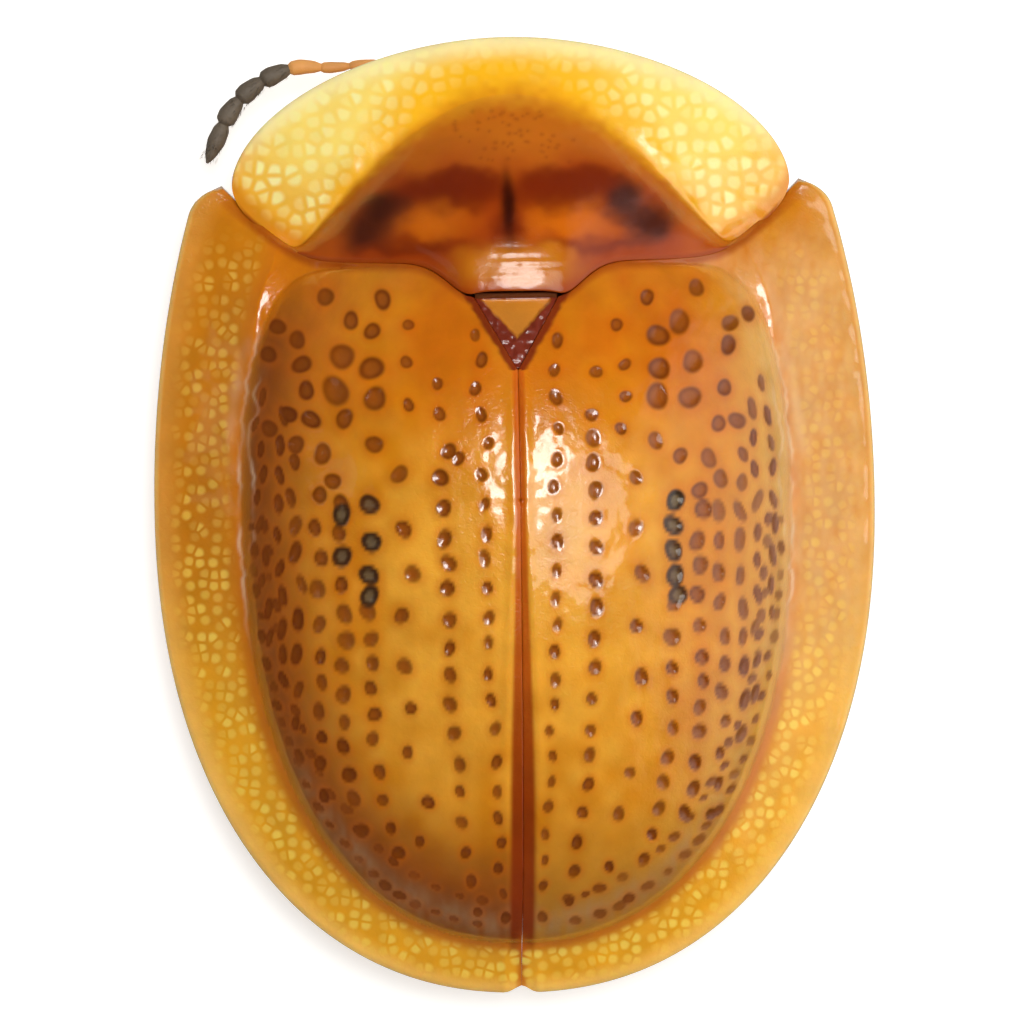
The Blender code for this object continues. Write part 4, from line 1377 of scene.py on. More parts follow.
    def punctures(self, x: Array, y: Array) -> Array:
        """Fine round dots scattered over the top of the hood, each a soft blob.

        Args:
            x: Places across.
            y: Places along.

        Returns:
            Their strength.
        """
        draw = np.random.default_rng(46)
        dots = np.zeros_like(x)
        for _ in range(self.dots):
            centre = (draw.normal(0, 0.24), draw.uniform(-2.95, -2.55))
            near = np.flatnonzero(np.abs(y[:, self.columns // 2] - centre[1]) < 0.3)
            rows = slice(max(near[0] - 8, 0), near[-1] + 8)
            size = draw.uniform(0.010, 0.019)
            dots[rows] = np.maximum(dots[rows], blob(x[rows], y[rows], centre, (size, size)))
        return dots

    def dress(self, piece: bpy.types.Object) -> None:
        """Gives the shield its glossy golden finish."""
        dress(piece, SHIELD_FINISH, "yellow_border", "neck_shield")


@dataclass
class Scutellum:
    """The small triangle between the wing cases: clear amber inside two rough maroon bands."""

    cells: int = 64
    step: int = 8
    clear_half: float = 0.262
    clear_length: float = 0.29
    amber: Colour = (0.60, 0.21, 0.014)
    maroon: Colour = (0.200, 0.022, 0.007)
    # painted shade colour of the sunken front strip
    strip: Colour = (0.13, 0.035, 0.010)

    def build(self) -> bpy.types.Object:
        """Shapes the triangle in rows that narrow to its tip, with its sides rolled up.

        Returns:
            The closed plate.
        """
        form = FORM
        down = np.linspace(0, 1, self.cells + 1)[:, None]
        across = np.linspace(-1, 1, self.cells + 1)[None, :]
        front_y = form.scutellum_base_y - 0.032
        tip_y = form.scutellum_tip_y + 0.005
        y = front_y + (tip_y - front_y) * down + 0 * across
        slope = (form.scutellum_half - 0.004) / (tip_y - form.scutellum_base_y)
        half = np.minimum(form.scutellum_half - 0.004, slope * (tip_y - y[:, :1]) + 0.006)
        x = half * across
        start = form.scutellum_base_y + 0.012
        clear = self.clear_half * (1 - (y - start) / self.clear_length)
        rough = 0.010 * value_noise(x, y, (0.04, 0.04), 52)
        inside = smooth_step(-0.012, 0.020, clear - np.abs(x) + rough) * (y > start)
        ahead = smooth_step(start, start - 0.012, y)
        edge = (1 - inside) * (1 - ahead)
        z = form.wing_z(x, y) - 0.050 + 0.030 * edge - 0.020 * ahead
        z = z + 0.012 * edge * value_noise(x, y, (0.035, 0.035), 51)
        tone = mix(self.maroon, self.amber, inside)
        # painted shade: the front strip is darkened where it sinks into the gap under the shield's rear edge
        pigment = mix(tone, self.strip, ahead)
        upper = np.stack([x, y, z], axis=-1)
        few = every(self.step)
        lower = np.stack([x[few], y[few], z[few] - 0.35], axis=-1)
        zero = np.zeros_like(x)
        return plate("scutellum_plate", upper, lower, self.step, pigment, zero, (0.2, 0.06, 0.02))

    def dress(self, piece: bpy.types.Object) -> None:
        """Gives the scutellum its finish."""
        dress(piece, SCUTELLUM_FINISH, "amber_shell", "scutellum")


# Tubes for limbs and other round parts


def curve_through(places: Array, count: int) -> Array:
    """A smooth curve through the places by cubic Hermite pieces, at even steps of chord length.

    Args:
        places: The places, in millimetres.
        count: How many points to return.

    Returns:
        The points.
    """
    length = np.concatenate([[0], np.cumsum(np.linalg.norm(np.diff(places, axis=0), axis=1))])
    slope = np.gradient(places, length, axis=0)
    at = np.linspace(0, length[-1], count)
    found = np.clip(np.searchsorted(length, at, side="right") - 1, 0, len(length) - 2)
    span = (length[found + 1] - length[found])[:, None]
    t = (at - length[found])[:, None] / span
    a, b = places[found], places[found + 1]
    return (
        (2 * t**3 - 3 * t**2 + 1) * a
        + (t**3 - 2 * t**2 + t) * span * slope[found]
        + (3 * t**2 - 2 * t**3) * b
        + (t**3 - t**2) * span * slope[found + 1]
    )


@dataclass
class Tube:
    """A closed tube along a path: each ring is an ellipse with its own width and height."""

    path: Array
    width: Array
    height: Array
    pigment: Array | Colour
    sides: int = 24
    floor: float | None = None
    lift: float = 0.0

    def rings(self) -> Array:
        """Points of the rings, each square to the path: centre + cos(a) w/2 across + sin(a) h/2 up.

        Returns:
            The points, one row for each ring.
        """
        ahead = np.gradient(self.path, axis=0)
        ahead /= np.linalg.norm(ahead, axis=1)[:, None]
        across = np.cross(ahead, (0.0, 0.0, 1.0))
        across /= np.linalg.norm(across, axis=1)[:, None]
        up = np.cross(across, ahead)
        turn = np.linspace(0, 2 * math.pi, self.sides, endpoint=False)
        half_width = np.asarray(self.width)[:, None, None] / 2
        half_height = np.asarray(self.height)[:, None, None] / 2
        ring = (
            self.path[:, None]
            + np.cos(turn)[None, :, None] * across[:, None] * half_width
            + np.sin(turn)[None, :, None] * up[:, None] * half_height
        )
        if self.floor is not None:
            ring[..., 2] = np.maximum(ring[..., 2], self.floor)
        return ring

    def put(self, net: Net) -> None:
        """Adds the tube to a net, with a pole at each end.

        Args:
            net: The net that it goes into.
        """
        ring = self.rings()
        pigment = np.asarray(self.pigment)
        if pigment.ndim > 1:
            body, ends = pigment[:, None, :], (pigment[0], pigment[-1])
            body = np.broadcast_to(body, ring.shape)
        else:
            body, ends = pigment, (pigment, pigment)
        index = net.add(ring, body)
        poles = np.stack([self.path[0], self.path[-1]])
        if self.floor is not None:
            poles[:, 2] = np.maximum(poles[:, 2], self.floor)
        pole = net.add(poles, np.stack(ends))
        net.close(index, pole)


def spindle(start: Array, end: Array, profile: Array, count: int = 14) -> tuple[Array, Array]:
    """A straight path with a smooth width along it.

    Args:
        start: Where it starts.
        end: Where it ends.
        profile: Widths at even steps, which the rings blend between.
        count: How many rings.

    Returns:
        The path and the width at each ring, pinched to a round end at both ends.
    """
    share = (1 - np.cos(np.linspace(0, math.pi, count))) / 2
    path = start + (end - start) * share[:, None]
    width = np.interp(share, np.linspace(0, 1, len(profile)), profile)
    return path, width * np.sqrt(np.clip(1 - np.abs(2 * share - 1) ** 10, 0.02, 1))


# Feelers


@dataclass
class Feeler:
    """A feeler of eleven joints: slim orange ones, a trumpet, and a club of four dark downy ones."""

    side: Side
    places: tuple[tuple[float, float, float], ...]
    lengths: tuple[float, ...] = (0.30, 0.16, 0.20, 0.22, 0.22, 0.21, 0.23, 0.21, 0.21, 0.21, 0.31)
    widths: tuple[float, ...] = (0.11, 0.08, 0.07, 0.07, 0.075, 0.085, 0.115, 0.145, 0.150, 0.150, 0.135)
    orange: Colour = (0.68, 0.30, 0.07)
    dusk: Colour = (0.120, 0.090, 0.060)

    def build(self) -> bpy.types.Object:
        """Threads the joints along the feeler's curve, each a spindle that widens towards its end.

        Returns:
            The feeler.
        """
        path = curve_through(np.array(self.places), 400)
        run = np.concatenate([[0], np.cumsum(np.linalg.norm(np.diff(path, axis=0), axis=1))])
        ends = np.concatenate([[0], np.cumsum(self.lengths)])
        ends = ends / ends[-1] * run[-1]
        net = Net()
        for k, width in enumerate(self.widths):
            share = (1 - np.cos(np.linspace(0, math.pi, 22))) / 2
            at = ends[k] + (ends[k + 1] - ends[k]) * (share * 1.03 - 0.015)
            line = np.stack([np.interp(at, run, path[:, axis]) for axis in range(3)], axis=1)
            last = k == len(self.widths) - 1
            if last:
                form = np.interp(share, (0, 0.15, 0.45, 0.8, 1), (0.55, 0.9, 1.0, 0.6, 0.08))
            else:
                form = np.interp(share, (0, 0.2, 0.65, 0.88, 1), (0.50, 0.78, 1.0, 0.92, 0.55))
            tone = mix(self.orange, self.dusk, float(k >= 7))
            Tube(line, width * form, width * form * 0.92, tone, sides=22).put(net)
            if k >= 7:
                self.down(net, line, width, tone, k)
        return net.build(f"feeler_{self.side.word}_joints")

    def down(self, net: Net, line: Array, width: float, tone: Array, joint: int) -> None:
        """Short hairs over one club joint, each a thin three-sided spike leaning along it.

        Args:
            net: The net that it goes into.
            line: The joint's middle line.
            width: Its width.
            tone: Its colour.
            joint: Its number, which seeds the draw.
        """
        draw = np.random.default_rng(60 + joint)
        ahead = line[-1] - line[0]
        ahead /= np.linalg.norm(ahead)
        across = np.cross(ahead, (0, 0, 1.0))
        across /= np.linalg.norm(across)
        up = np.cross(across, ahead)
        count = 90
        turn = draw.uniform(0, 2 * math.pi, count)[:, None]
        share = draw.uniform(0.12, 0.92, count)[:, None]
        out = np.cos(turn) * across + np.sin(turn) * up
        root = line[0] + (line[-1] - line[0]) * share + out * width * 0.40
        tip = root + ahead * 0.026 + out * 0.014
        third = root + 0.004 * np.cross(ahead, out)
        base = np.stack([root + 0.003 * ahead, root - 0.003 * ahead, third], axis=1)
        net.put_spikes(base, tip, tone)

    def dress(self, piece: bpy.types.Object) -> None:
        """Gives the feeler its matt finish."""
        dress(piece, FEELER_FINISH, "feeler", f"feeler_{self.side.word}")


LEFT_FEELER_PLACES = (
    (0.14, -3.06, 0.52),
    (0.42, -3.29, 0.47),
    (0.90, -3.33, 0.45),
    (1.30, -3.30, 0.45),
    (1.57, -3.30, 0.46),
    (1.74, -3.24, 0.47),
    (1.90, -3.14, 0.47),
    (2.04, -2.99, 0.46),
    (2.14, -2.79, 0.44),
    (2.22, -2.61, 0.42),
)
RIGHT_FEELER_PLACES = (
    (-0.14, -3.06, 0.52),
    (-0.42, -3.26, 0.45),
    (-0.80, -3.22, 0.40),
    (-1.20, -3.06, 0.36),
    (-1.50, -2.88, 0.34),
    (-1.72, -2.66, 0.32),
)


# Head


def ball(radii: tuple[float, float, float], rings: int, sides: int) -> Array:
    """A grid over an oval ball from its front pole to its rear one, by the sine and cosine of two angles.

    Args:
        radii: The ball's half sizes.
        rings: Rings with the poles.
        sides: Points on a ring.

    Returns:
        The points, without the poles.
    """
    down = np.linspace(0, math.pi, rings)[1:-1, None]
    turn = np.linspace(0, 2 * math.pi, sides, endpoint=False)[None, :]
    across = radii[0] * np.sin(down) * np.cos(turn)
    along = -radii[1] * np.cos(down) + 0 * turn
    return np.stack([across, along, radii[2] * np.sin(down) * np.sin(turn)], axis=-1)


@dataclass
class Head:
    """The head under the shield: a skull, a face plate with its grooves, and the upper lip."""

    centre: tuple[float, float, float] = (0.0, -2.84, 0.60)
    radii: tuple[float, float, float] = (0.50, 0.34, 0.30)
    tone: Colour = (0.50, 0.19, 0.035)
    lip: Colour = (0.24, 0.075, 0.02)

    def build(self) -> bpy.types.Object:
        """Shapes the skull as a ball with a swollen face, two grooves and two feeler sockets.

        Returns:
            The head.
        """
        net = Net()
        skull = ball(self.radii, 80, 96)
        x, y, z = skull[..., 0], skull[..., 1], skull[..., 2]
        face = np.exp(-((x / 0.24) ** 2) - ((z + 0.16) / 0.20) ** 2) * (y < 0)
        swell = 1 + 0.30 * face
        for side in (-1, 1):
            groove = np.abs(x - side * (0.10 + 0.25 * (z + 0.15))) / 0.025
            swell = swell - 0.035 * np.exp(-(groove**2)) * (y < 0)
            socket = ((x - side * 0.13) ** 2 + (z + 0.02) ** 2) / 0.055**2
            swell = swell - 0.10 * np.exp(-socket) * (y < 0)
        skull = skull * swell[..., None]
        skull[..., 2] = np.minimum(skull[..., 2], 0.285)
        tone = mix(self.tone, self.lip, np.clip(face * 0.5 + 0.3 * smooth_step(-0.05, -0.3, z), 0, 1))
        index = net.add(skull + np.array(self.centre), tone)
        poles = np.array([[0, -self.radii[1] * 1.19, 0], [0, self.radii[1], 0]]) + np.array(self.centre)
        pole = net.add(poles, self.tone)
        net.close(index, pole)
        self.put_lip(net)
        return net.build("head_skin")

    def put_lip(self, net: Net) -> None:
        """Adds the face plate's lower end and the notched upper lip over the jaws.

        Args:
            net: The net that it goes into.
        """
        x, y, z = self.centre
        for drop, width, thick in ((0.30, 0.34, 0.20), (0.40, 0.26, 0.14)):
            start = np.array([x - width / 2, y - 0.14, z - drop])
            end = np.array([x + width / 2, y - 0.14, z - drop])
            path, size = spindle(start, end, np.array([0.7, 1.0, 0.9, 1.0, 0.7]) * thick, 20)
            Tube(path, size, size, mix(self.tone, self.lip, 0.7), sides=20).put(net)

    def dress(self, piece: bpy.types.Object) -> None:
        """Gives the head its finish."""
        dress(piece, HEAD_FINISH, "amber_leg", "head")


@dataclass
class Eye:
    """A long oval eye on the side of the head, black and finely faceted."""

    side: Side
    centre: tuple[float, float, float] = (0.44, -2.85, 0.63)
    radii: tuple[float, float, float] = (0.13, 0.17, 0.21)
    cut_z: float = 0.20
    tone: Colour = (0.012, 0.009, 0.008)

    def build(self) -> bpy.types.Object:
        """Shapes the eye as an ellipsoid half sunk in the head.

        Returns:
            The eye.
        """
        net = Net()
        centre = np.array([self.side.value * self.centre[0], *self.centre[1:]])
        globe = ball(self.radii, 48, 64)
        globe[..., 2] = np.minimum(globe[..., 2], self.cut_z)
        index = net.add(globe + centre, self.tone)
        poles = np.array([[0, -self.radii[1], 0], [0, self.radii[1], 0]]) + centre
        pole = net.add(poles, self.tone)
        net.close(index, pole)
        return net.build(f"eye_{self.side.word}_globe")

    def dress(self, piece: bpy.types.Object) -> None:
        """Gives the eye its faceted gloss."""
        dress(piece, EYE_FINISH, "dark_eye", f"eye_{self.side.word}")


@dataclass
class Jaws:
    """The two toothed jaws and the four mouth feelers below the upper lip."""

    centre: tuple[float, float, float] = (0.0, -2.84, 0.60)
    places: tuple[tuple[float, float, float], ...] = (
        (0.17, -0.13, -0.36),
        (0.16, -0.17, -0.43),
        (0.09, -0.19, -0.48),
        (0.01, -0.19, -0.49),
    )
    feeler_width: tuple[float, ...] = (0.04, 0.06, 0.065, 0.045)
    tone: Colour = (0.16, 0.04, 0.012)
    pale: Colour = (0.46, 0.20, 0.05)

    def build(self) -> bpy.types.Object:
        """Curves a jaw in from each side and hangs two jointed mouth feelers beside it.

        Returns:
            The jaws.
        """
        net = Net()
        x, y, z = self.centre
        for side in (-1, 1):
            places = np.array(self.places)
            places[:, 0] *= side
            path = curve_through(places + np.array([x, y, z]), 24)
            size = np.interp(np.linspace(0, 1, 24), (0, 0.3, 0.8, 1), (0.13, 0.12, 0.08, 0.02))
            Tube(path, size, size * 0.8, self.tone, sides=16).put(net)
            for k, (out, back) in enumerate(((0.24, -0.06), (0.10, 0.02))):
                joint = np.array([side * out, y + back, z - 0.34])
                for step in range(3):
                    after = joint + np.array([side * 0.02, -0.03 - 0.01 * step, -0.055])
                    line, width = spindle(joint, after, np.array(self.feeler_width) * (1 - 0.12 * k), 10)
                    Tube(line, width, width, self.pale, sides=12).put(net)
                    joint = after
        return net.build("jaws_and_palps")

    def dress(self, piece: bpy.types.Object) -> None:
        """Gives the jaws their finish."""
        dress(piece, BELLY_FINISH, "brown_belly", "jaws")


# Body


@dataclass
class Belly:
    """The body under the shell: thorax plates with their seams, leg sockets and five abdomen plates."""

    rows: int = 305
    columns: int = 193
    step: int = 8
    front_y: float = -2.62
    thorax_y: float = -1.68
    waist_y: float = 0.47
    end_y: float = 2.92
    plates: int = 5
    brown: Colour = (0.17, 0.050, 0.010)
    amber: Colour = (0.40, 0.14, 0.020)

    def half_width(self, y: Array) -> Array:
        """Half width: a collar, a widening chest and an abdomen that closes like (1 - s^2.2)^0.5.

        Args:
            y: Places along.

        Returns:
            The half width.
        """
        collar = 0.72 + 0.40 * np.clip((y - self.front_y) / (self.thorax_y - self.front_y), 0, 1) ** 0.7
        chest = 1.22 + 0.55 * np.sqrt(np.clip((y - self.thorax_y) / (self.waist_y - self.thorax_y), 0, 1))
        tail = np.clip((y - self.waist_y) / (self.end_y - self.waist_y), 0, 1)
        hind = 0.06 + 1.68 * np.sqrt(1 - tail**2.2)
        step = smooth_step(self.thorax_y - 0.04, self.thorax_y + 0.04, y)
        front = collar * (1 - step) + chest * step
        return np.where(y > self.waist_y, hind, front)

    def underside(self, x: Array, y: Array) -> Array:
        """Height of the underside: lowest along the middle, rising to the sides and the tail."""
        tail = np.clip((y - 1.2) / 1.8, 0, 1)
        return 0.60 + 0.18 * (np.abs(x) / 1.7) ** 2 + 0.14 * tail**2

    def seams(self, x: Array, y: Array) -> Array:
        """Strength of the grooves between plates: across at each plate's end, and along the chest.

        Args:
            x: Places across.
            y: Places along.

        Returns:
            The strength, from 0 to 1.
        """
        lines = [self.thorax_y, -0.42 + 0.10 * np.abs(x), self.waist_y]
        reach = self.end_y - self.waist_y
        lines += [self.waist_y + reach * (0.34 + 0.155 * k) for k in range(self.plates - 1)]
        total = np.zeros_like(x)
        for line in lines:
            bend = line + 0.05 * np.cos(x * 1.2)
            total = np.maximum(total, bell(y - bend, 0, 0.018))
        middle = bell(x, 0, 0.014) * (y > -0.38) * (y < self.waist_y) * 0.7
        for side in (-1, 1):
            flank = np.exp(-(((x - side * (1.18 + 0.06 * y)) / 0.02) ** 2)) * (y > self.thorax_y)
            total = np.maximum(total, flank * (y < self.waist_y))
        return np.maximum(total, middle)

    def build(self) -> bpy.types.Object:
        """Shapes the underside finely and the hidden top coarsely.

        Returns:
            The body.
        """
        y = np.linspace(self.front_y, self.end_y, self.rows)[:, None]
        across = np.sin(np.linspace(-math.pi / 2, math.pi / 2, self.columns))[None, :]
        half = self.half_width(y)
        x = half * across
        y = y + 0 * x
        seam = self.seams(x, y)
        sockets = np.zeros_like(x)
        for hip_x, hip_y in ((0.30, -2.12), (0.42, -0.80), (0.42, 0.06)):
            for side in (-1, 1):
                sockets = np.maximum(sockets, blob(x, y, (side * hip_x, hip_y), (0.27, 0.22), 2))
        punctures = value_noise(x, y, (0.05, 0.05), 71)
        swell = 0.02 * np.cos(np.clip((y - self.waist_y) / (self.end_y - self.waist_y), 0, 1) * 5 * math.pi)
        z = self.underside(x, y) + 0.028 * seam + 0.05 * sockets + 0.004 * punctures - 0.02 + 0.2 * swell
        edge = half * (1 - np.abs(across))
        z = z + rounded_edge(edge, 0.10) + rounded_edge(y - self.front_y, 0.08)
        tone = mix(self.brown, self.amber, smooth_step(0.35, 0.0, edge) * 0.8)
        tone = mix(tone, (0.05, 0.014, 0.004), seam * 0.8)
        few = every(self.step)
        top = self.room(x[few], y[few])
        lower = np.stack([x[few], y[few], np.maximum(top, z[few] + 0.1)], axis=-1)
        upper = np.stack([x, y, z], axis=-1)
        return plate("belly_plates", upper, lower, self.step, tone, np.zeros_like(x), self.brown)

    def room(self, x: Array, y: Array) -> Array:
        """Height of the shell's inner face less a gap, the lowest within a short reach of each place.

        Args:
            x: Places across.
            y: Places along.

        Returns:
            The height that the belly's top may have.
        """
        form = FORM
        found = []
        for turn in np.arange(8) * math.pi / 4:
            px, py = x + 0.12 * math.cos(turn), y + 0.12 * math.sin(turn)
            wings, shield = form.wing_z(px, py), form.shield_z(px, py)
            under_wings = wings - form.thickness(wings, form.rim_z) - 0.05
            under_shield = shield - form.thickness(shield, form.shield_rim_z) - 0.05
            line = form.base_line(px)
            plain = np.where(py < line, under_shield, under_wings)
            both = np.minimum(under_wings, under_shield)
            found.append(np.where(np.abs(py - line) < 0.25, both, plain))
        return np.minimum.reduce(found) - 0.05

    def dress(self, piece: bpy.types.Object) -> None:
        """Gives the body its finish."""
        dress(piece, BELLY_FINISH, "brown_belly", "fore_body", "hind_body", "abdomen")


# Legs


LEG_PLACES = {
    "front": ((0.30, -2.12, 0.56), (1.02, -2.30, 0.36), (1.38, -2.18, 0.17), (1.82, -2.22, 0.07)),
    "middle": ((0.42, -0.80, 0.56), (1.32, -1.18, 0.36), (1.86, -0.86, 0.17), (2.38, -0.78, 0.07)),
    "hind": ((0.42, 0.06, 0.56), (1.36, 0.62, 0.36), (1.72, 1.20, 0.17), (2.00, 1.68, 0.07)),
}


@dataclass
class Leg:
    """One leg: hip, thigh, shin, a foot of four joints with a two-lobed pad, and two claws."""

    side: Side
    place: str
    hip_width: tuple[float, ...] = (0.30, 0.42, 0.44, 0.36, 0.2)
    thigh_width: tuple[float, ...] = (0.20, 0.32, 0.37, 0.36, 0.30, 0.24, 0.17)
    amber: Colour = (0.56, 0.24, 0.04)
    knee: Colour = (0.34, 0.11, 0.018)
    pad: Colour = (0.44, 0.24, 0.09)
    claw: Colour = (0.10, 0.035, 0.012)

    def corners(self) -> Array:
        """The hip, knee, ankle and toe of this side's leg.

        Returns:
            Four places, one in each row.
        """
        found = np.array(LEG_PLACES[self.place])
        found[:, 0] *= self.side.value
        return found

    def build(self) -> bpy.types.Object:
        """Threads the leg's joints from the hip to the claws.

        Returns:
            The leg.
        """
        net = Net()
        hip, knee, ankle, toe = self.corners()
        out = (knee - hip) / np.linalg.norm(knee - hip)
        path, width = spindle(hip - 0.20 * out, hip + 0.20 * out, np.array(self.hip_width), 24)
        Tube(path, width, width * 0.75, mix(self.amber, self.knee, 0.6), sides=28).put(net)
        path, width = spindle(hip + 0.05 * out, knee + 0.03 * out, np.array(self.thigh_width), 40)
        share = np.linspace(0, 1, 40)
        tone = mix(np.broadcast_to(self.amber, (40, 3)), self.knee, smooth_step(0.8, 1.0, share))
        Tube(path, width, width * 0.80, tone, sides=30).put(net)
        bend = curve_through(np.array([knee, (knee + ankle) / 2 + (0, 0, 0.02), ankle]), 36)
        share = np.linspace(0, 1, 36)
        width = np.interp(share, (0, 0.08, 0.3, 0.8, 0.96, 1), (0.08, 0.16, 0.18, 0.27, 0.29, 0.12))
        tone = mix(np.broadcast_to(self.amber, (36, 3)), self.knee, 0.7 * smooth_step(0.12, 0.0, share))
        Tube(bend, width, width * 0.85, tone, sides=26, floor=0.03).put(net)
        self.spurs(net, ankle, toe)
        self.foot(net, ankle, toe)
        return net.build(f"leg_{self.place}_{self.side.word}_joints")

    def spurs(self, net: Net, ankle: Array, toe: Array) -> None:
        """A fringe of short bristles round the shin's end, each a thin cone.

        Args:
            net: The net that it goes into.
            ankle: The shin's end.
            toe: Where the foot ends.
        """
        ahead = (toe - ankle) / np.linalg.norm(toe - ankle)
        across = np.array([-ahead[1], ahead[0], 0.0])
        draw = np.random.default_rng(80)
        for turn in np.linspace(0.15 * math.pi, 0.85 * math.pi, 12):
            way = math.cos(turn) * across + math.sin(turn) * np.array([0, 0, 1.0])
            root = ankle + way * 0.10 - ahead * 0.02
            tip = root + ahead * draw.uniform(0.06, 0.10) + way * 0.02
            path = np.linspace(root, tip, 4)
            width = np.array([0.014, 0.011, 0.007, 0.002])
            Tube(path, width, width, self.pad, sides=6, floor=0.0).put(net)

    def foot(self, net: Net, ankle: Array, toe: Array) -> None:
        """Three flat pads, the last split in two lobes, a slim claw joint and two hooked claws.

        Args:
            net: The net that it goes into.
            ankle: The shin's end.
            toe: Where the foot ends.
        """
        ahead = toe - ankle
        ahead[2] = 0
        reach = np.linalg.norm(ahead)
        ahead = ahead / reach
        across = np.array([-ahead[1], ahead[0], 0.0])
        start = np.array([ankle[0], ankle[1], 0.0])
        for first, last, width in ((-0.02, 0.24, 0.22), (0.22, 0.46, 0.27)):
            a = start + ahead * reach * first + (0, 0, 0.085)
            b = start + ahead * reach * last + (0, 0, 0.075)
            path, size = spindle(a, b, np.array([0.6, 0.95, 1.1, 0.9]) * width, 20)
            Tube(path, size, np.minimum(size, 0.17), self.amber, sides=22, floor=0.0).put(net)
        for side in (-1, 1):
            a = start + ahead * reach * 0.44 + across * side * 0.03 + (0, 0, 0.07)
            b = start + ahead * reach * 0.82 + across * side * 0.13 + (0, 0, 0.06)
            path, size = spindle(a, b, np.array([0.5, 0.9, 1.1, 0.9]) * 0.20, 20)
            Tube(path, size, np.minimum(size, 0.14), self.pad, sides=22, floor=0.0).put(net)
            self.soles(net, (a + b) / 2, ahead, across)
        a = start + ahead * reach * 0.55 + (0, 0, 0.13)
        b = start + ahead * reach * 1.02 + (0, 0, 0.12)
        path, size = spindle(a, b, np.array([0.06, 0.07, 0.09, 0.10]), 18)
        Tube(path, size, size, self.amber, sides=18).put(net)
        for side in (-1, 1):
            bow = b + 0.07 * ahead + side * 0.05 * across
            point = b + 0.13 * ahead + side * 0.06 * across
            hook = np.array([b - 0.02 * ahead, bow, point])
            hook[:, 2] = (0.12, 0.11, 0.02)
            path = curve_through(hook, 16)
            size = np.linspace(0.055, 0.008, 16)
            Tube(path, size, size, self.claw, sides=14, floor=0.0).put(net)

    def soles(self, net: Net, centre: Array, ahead: Array, across: Array) -> None:
        """Short stiff hairs round the edge of a pad, each a thin three-sided spike.

        Args:
            net: The net that it goes into.
            centre: The pad's middle.
            ahead: Along the foot.
            across: Across it.
        """
        draw = np.random.default_rng(90)
        count = 40
        turn = np.linspace(0, 2 * math.pi, count, endpoint=False)[:, None]
        out = np.cos(turn) * ahead + np.sin(turn) * across
        root = centre + np.cos(turn) * ahead * 0.10 + np.sin(turn) * across * 0.07
        root[:, 2] = 0.035
        tip = root + out * draw.uniform(0.03, 0.05, (count, 1))
        tip[:, 2] = 0.006
        width = 0.004 * np.cross(out, (0, 0, 1.0))
        base = np.stack([root + width, root - width, root + (0, 0, 0.008)], axis=1)
        net.put_spikes(base, tip, self.pad)

    def dress(self, piece: bpy.types.Object) -> None:
        """Gives the leg its finish."""
        dress(piece, LEG_FINISH, "amber_leg", f"leg_{self.place}_{self.side.word}")


# Studio


@dataclass(frozen=True)
class Lamp:
    """An oval soft light that faces the beetle from a direction, with the brightness of its face."""

    name: str
    way: tuple[float, float, float]
    distance: float
    size: tuple[float, float]
    glow: float
    tint: Colour = (1.0, 1.0, 1.0)
    mirrored: bool = True

    def build(self) -> None:
        """Makes the light: its power is pi times its area times its glow."""
        light = bpy.data.lights.new(self.name, "AREA")
        light.shape = "ELLIPSE"
        light.color = self.tint
        light.size, light.size_y = (side * MM for side in self.size)
        light.energy = math.pi * (math.pi / 4 * light.size * light.size_y) * self.glow
        lamp = bpy.data.objects.new(self.name, light)
        way = Vector(self.way).normalized()
        lamp.location = (way * self.distance + Vector((0, 0, 1.2))) * MM
        lamp.rotation_euler = way.to_track_quat("Z", "Y").to_euler()
        lamp.visible_glossy = self.mirrored
        bpy.context.collection.objects.link(lamp)


LAMPS = (
    Lamp("bright_core", (-0.06, -0.26, 0.96), 84.0, (36.0, 42.0), 11.0),
    Lamp("tall_softbox", (-0.36, -0.02, 0.93), 88.0, (50.0, 82.0), 2.4, (1.0, 0.97, 0.90)),
    Lamp("right_softbox", (-0.86, -0.14, 0.46), 92.0, (80.0, 56.0), 1.15, (1.0, 0.93, 0.76), False),
    Lamp("left_strip", (0.99, -0.10, 0.10), 90.0, (10.0, 40.0), 0.4, (1.0, 0.90, 0.76)),
)


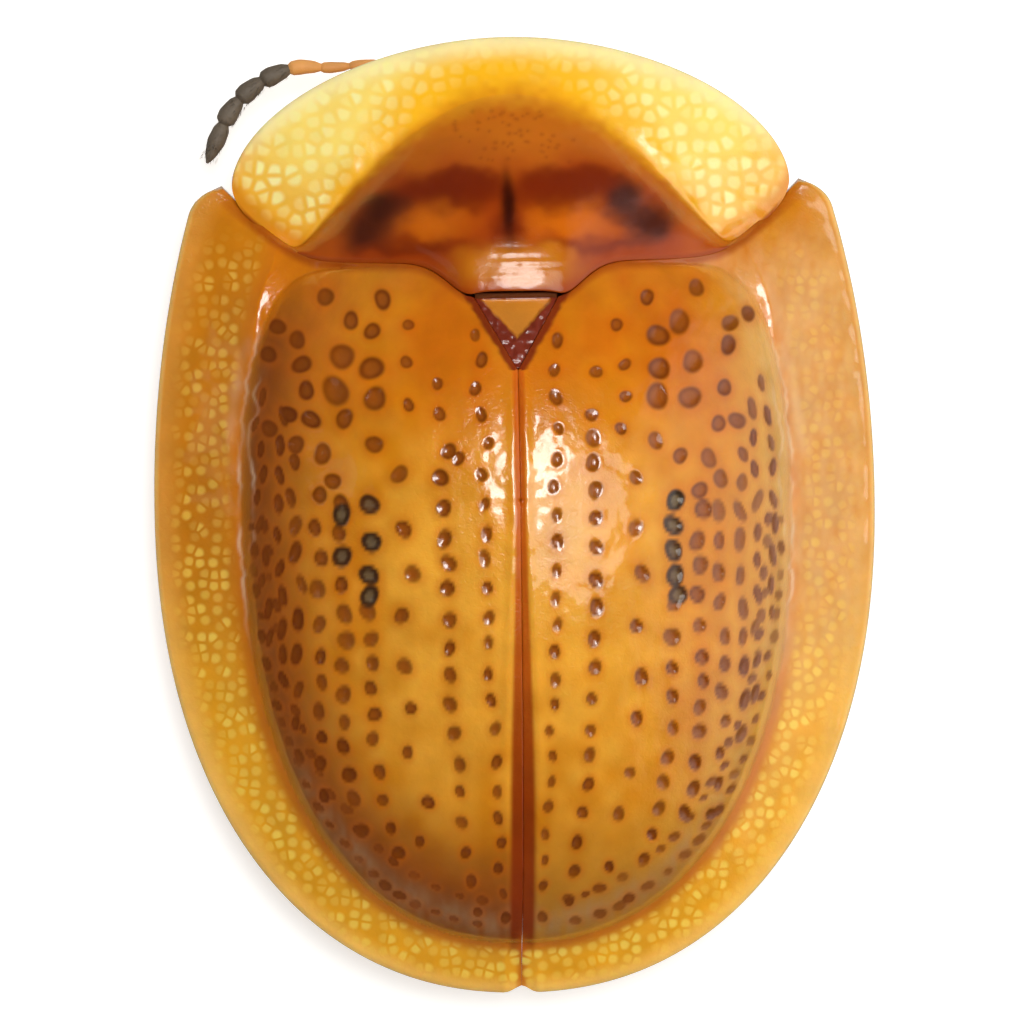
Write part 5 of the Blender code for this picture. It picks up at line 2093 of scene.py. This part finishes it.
@dataclass
class Studio:
    """The white floor, the soft lights and the camera over the beetle."""

    frame_width: float = 1023.0
    frame_height: float = 1024.0
    pixels_per_mm: float = 136.57
    middle: tuple[float, float] = (515.0, 515.0)
    focus_z: float = 0.62
    distance: float = 90.0
    tilt: float = 1.15
    roll: float = 0.80
    floor_half: float = 1500.0
    floor_tone: Colour = (0.70, 0.70, 0.69)
    floor_light: Colour = (1.0, 1.0, 0.985)
    floor_glow: float = 0.62
    sky_tone: Colour = (1.0, 1.0, 0.99)
    backdrop: float = 0.9
    ambient: float = 0.21
    low_shine: float = 0.60
    low_reach: tuple[float, float] = (-0.74, -0.98)
    right_shine: float = 0.55
    right_reach: tuple[float, float] = (-0.62, -0.98)

    def build(self) -> None:
        """Sets up the floor, the lights, the sky and the camera."""
        scene = bpy.context.scene
        scene.view_settings.view_transform = "Standard"
        scene.view_settings.look = "None"
        self.floor()
        self.sky()
        for lamp in LAMPS:
            lamp.build()
        self.camera()

    def floor(self) -> None:
        """A pale, faintly glowing floor, like a light table."""
        half = self.floor_half * MM
        mesh = bpy.data.meshes.new("floor")
        corners = [(-half, -half, 0), (half, -half, 0), (half, half, 0), (-half, half, 0)]
        mesh.from_pydata(corners, [], [(0, 1, 2, 3)])
        floor = bpy.data.objects.new("floor", mesh)
        bpy.context.collection.objects.link(floor)
        made = bpy.data.materials.new("pale_floor")
        made.use_nodes = True
        matt = {
            "Base Color": (*self.floor_tone, 1.0),
            "Roughness": 0.9,
            "Emission Color": (*self.floor_light, 1.0),
            "Emission Strength": self.floor_glow,
        }
        fill(made.node_tree, made.node_tree.nodes["Principled BSDF"], matt)
        mesh.materials.append(made)
        floor.visible_glossy = False

    def sky(self) -> None:
        """A pale backdrop for the camera, an even glow for what is matt, two soft shines for what is glossy.

        One shine is below the horizon and one is low on the right.
        """
        world = bpy.data.worlds.new("studio")
        world.use_nodes = True
        tree = world.node_tree
        ray = tree.nodes.new("ShaderNodeLightPath")
        way = tree.nodes.new("ShaderNodeTexCoord")
        parts = tree.nodes.new("ShaderNodeSeparateXYZ")
        fill(tree, parts, {"Vector": way.outputs["Generated"]})
        below = spread(tree, parts.outputs["Z"], self.low_reach, (0.0, self.low_shine), smooth=True)
        right = spread(tree, parts.outputs["X"], self.right_reach, (0.0, self.right_shine), smooth=True)
        shine = calculate(tree, "ADD", below, right)
        matt = spread(tree, ray.outputs["Is Glossy Ray"], target=(self.ambient, shine))
        strength = spread(tree, ray.outputs["Is Camera Ray"], target=(matt, self.backdrop))
        fill(tree, tree.nodes["Background"], {"Color": (*self.sky_tone, 1.0), "Strength": strength})
        bpy.context.scene.world = world

    def camera(self) -> None:
        """Looks straight down with the head at the top of the picture, tilted and turned a little."""
        lens = bpy.data.cameras.new("camera")
        lens.sensor_fit = "HORIZONTAL"
        lens.sensor_width = 36.0
        lens.lens = 36.0 * self.distance * self.pixels_per_mm / self.frame_width
        lens.clip_start = 1.0 * MM
        lens.clip_end = 5.0
        camera = bpy.data.objects.new("camera", lens)
        tilt, roll = math.radians(self.tilt), math.radians(self.roll)
        turned = Matrix.Rotation(math.pi, 4, "Z") @ Matrix.Rotation(-roll, 4, "Z")
        leaned = Matrix.Rotation(tilt, 4, "Y")
        off_x = (self.frame_width / 2 - self.middle[0]) / self.pixels_per_mm
        off_y = (self.frame_height / 2 - self.middle[1]) / self.pixels_per_mm
        aim = Matrix.Translation(Vector((-off_x, off_y, self.focus_z)) * MM)
        camera.matrix_world = aim @ leaned @ turned @ Matrix.Translation((0, 0, self.distance * MM))
        bpy.context.collection.objects.link(camera)
        bpy.context.scene.camera = camera


def main() -> None:
    """Builds the studio and every piece of the beetle."""
    logging.basicConfig(level=logging.INFO, format="%(name)s: %(message)s")
    Studio().build()
    makers = [
        WingCase(Side.LEFT),
        WingCase(Side.RIGHT, seed=17),
        NeckShield(),
        Scutellum(),
        Belly(),
        Head(),
        Eye(Side.LEFT),
        Eye(Side.RIGHT),
        Jaws(),
        Feeler(Side.LEFT, LEFT_FEELER_PLACES),
        Feeler(Side.RIGHT, RIGHT_FEELER_PLACES),
    ]
    makers += [Leg(side, place) for place in LEG_PLACES for side in Side]
    for maker in makers:
        maker.dress(maker.build())


if __name__ == "__main__":
    main()
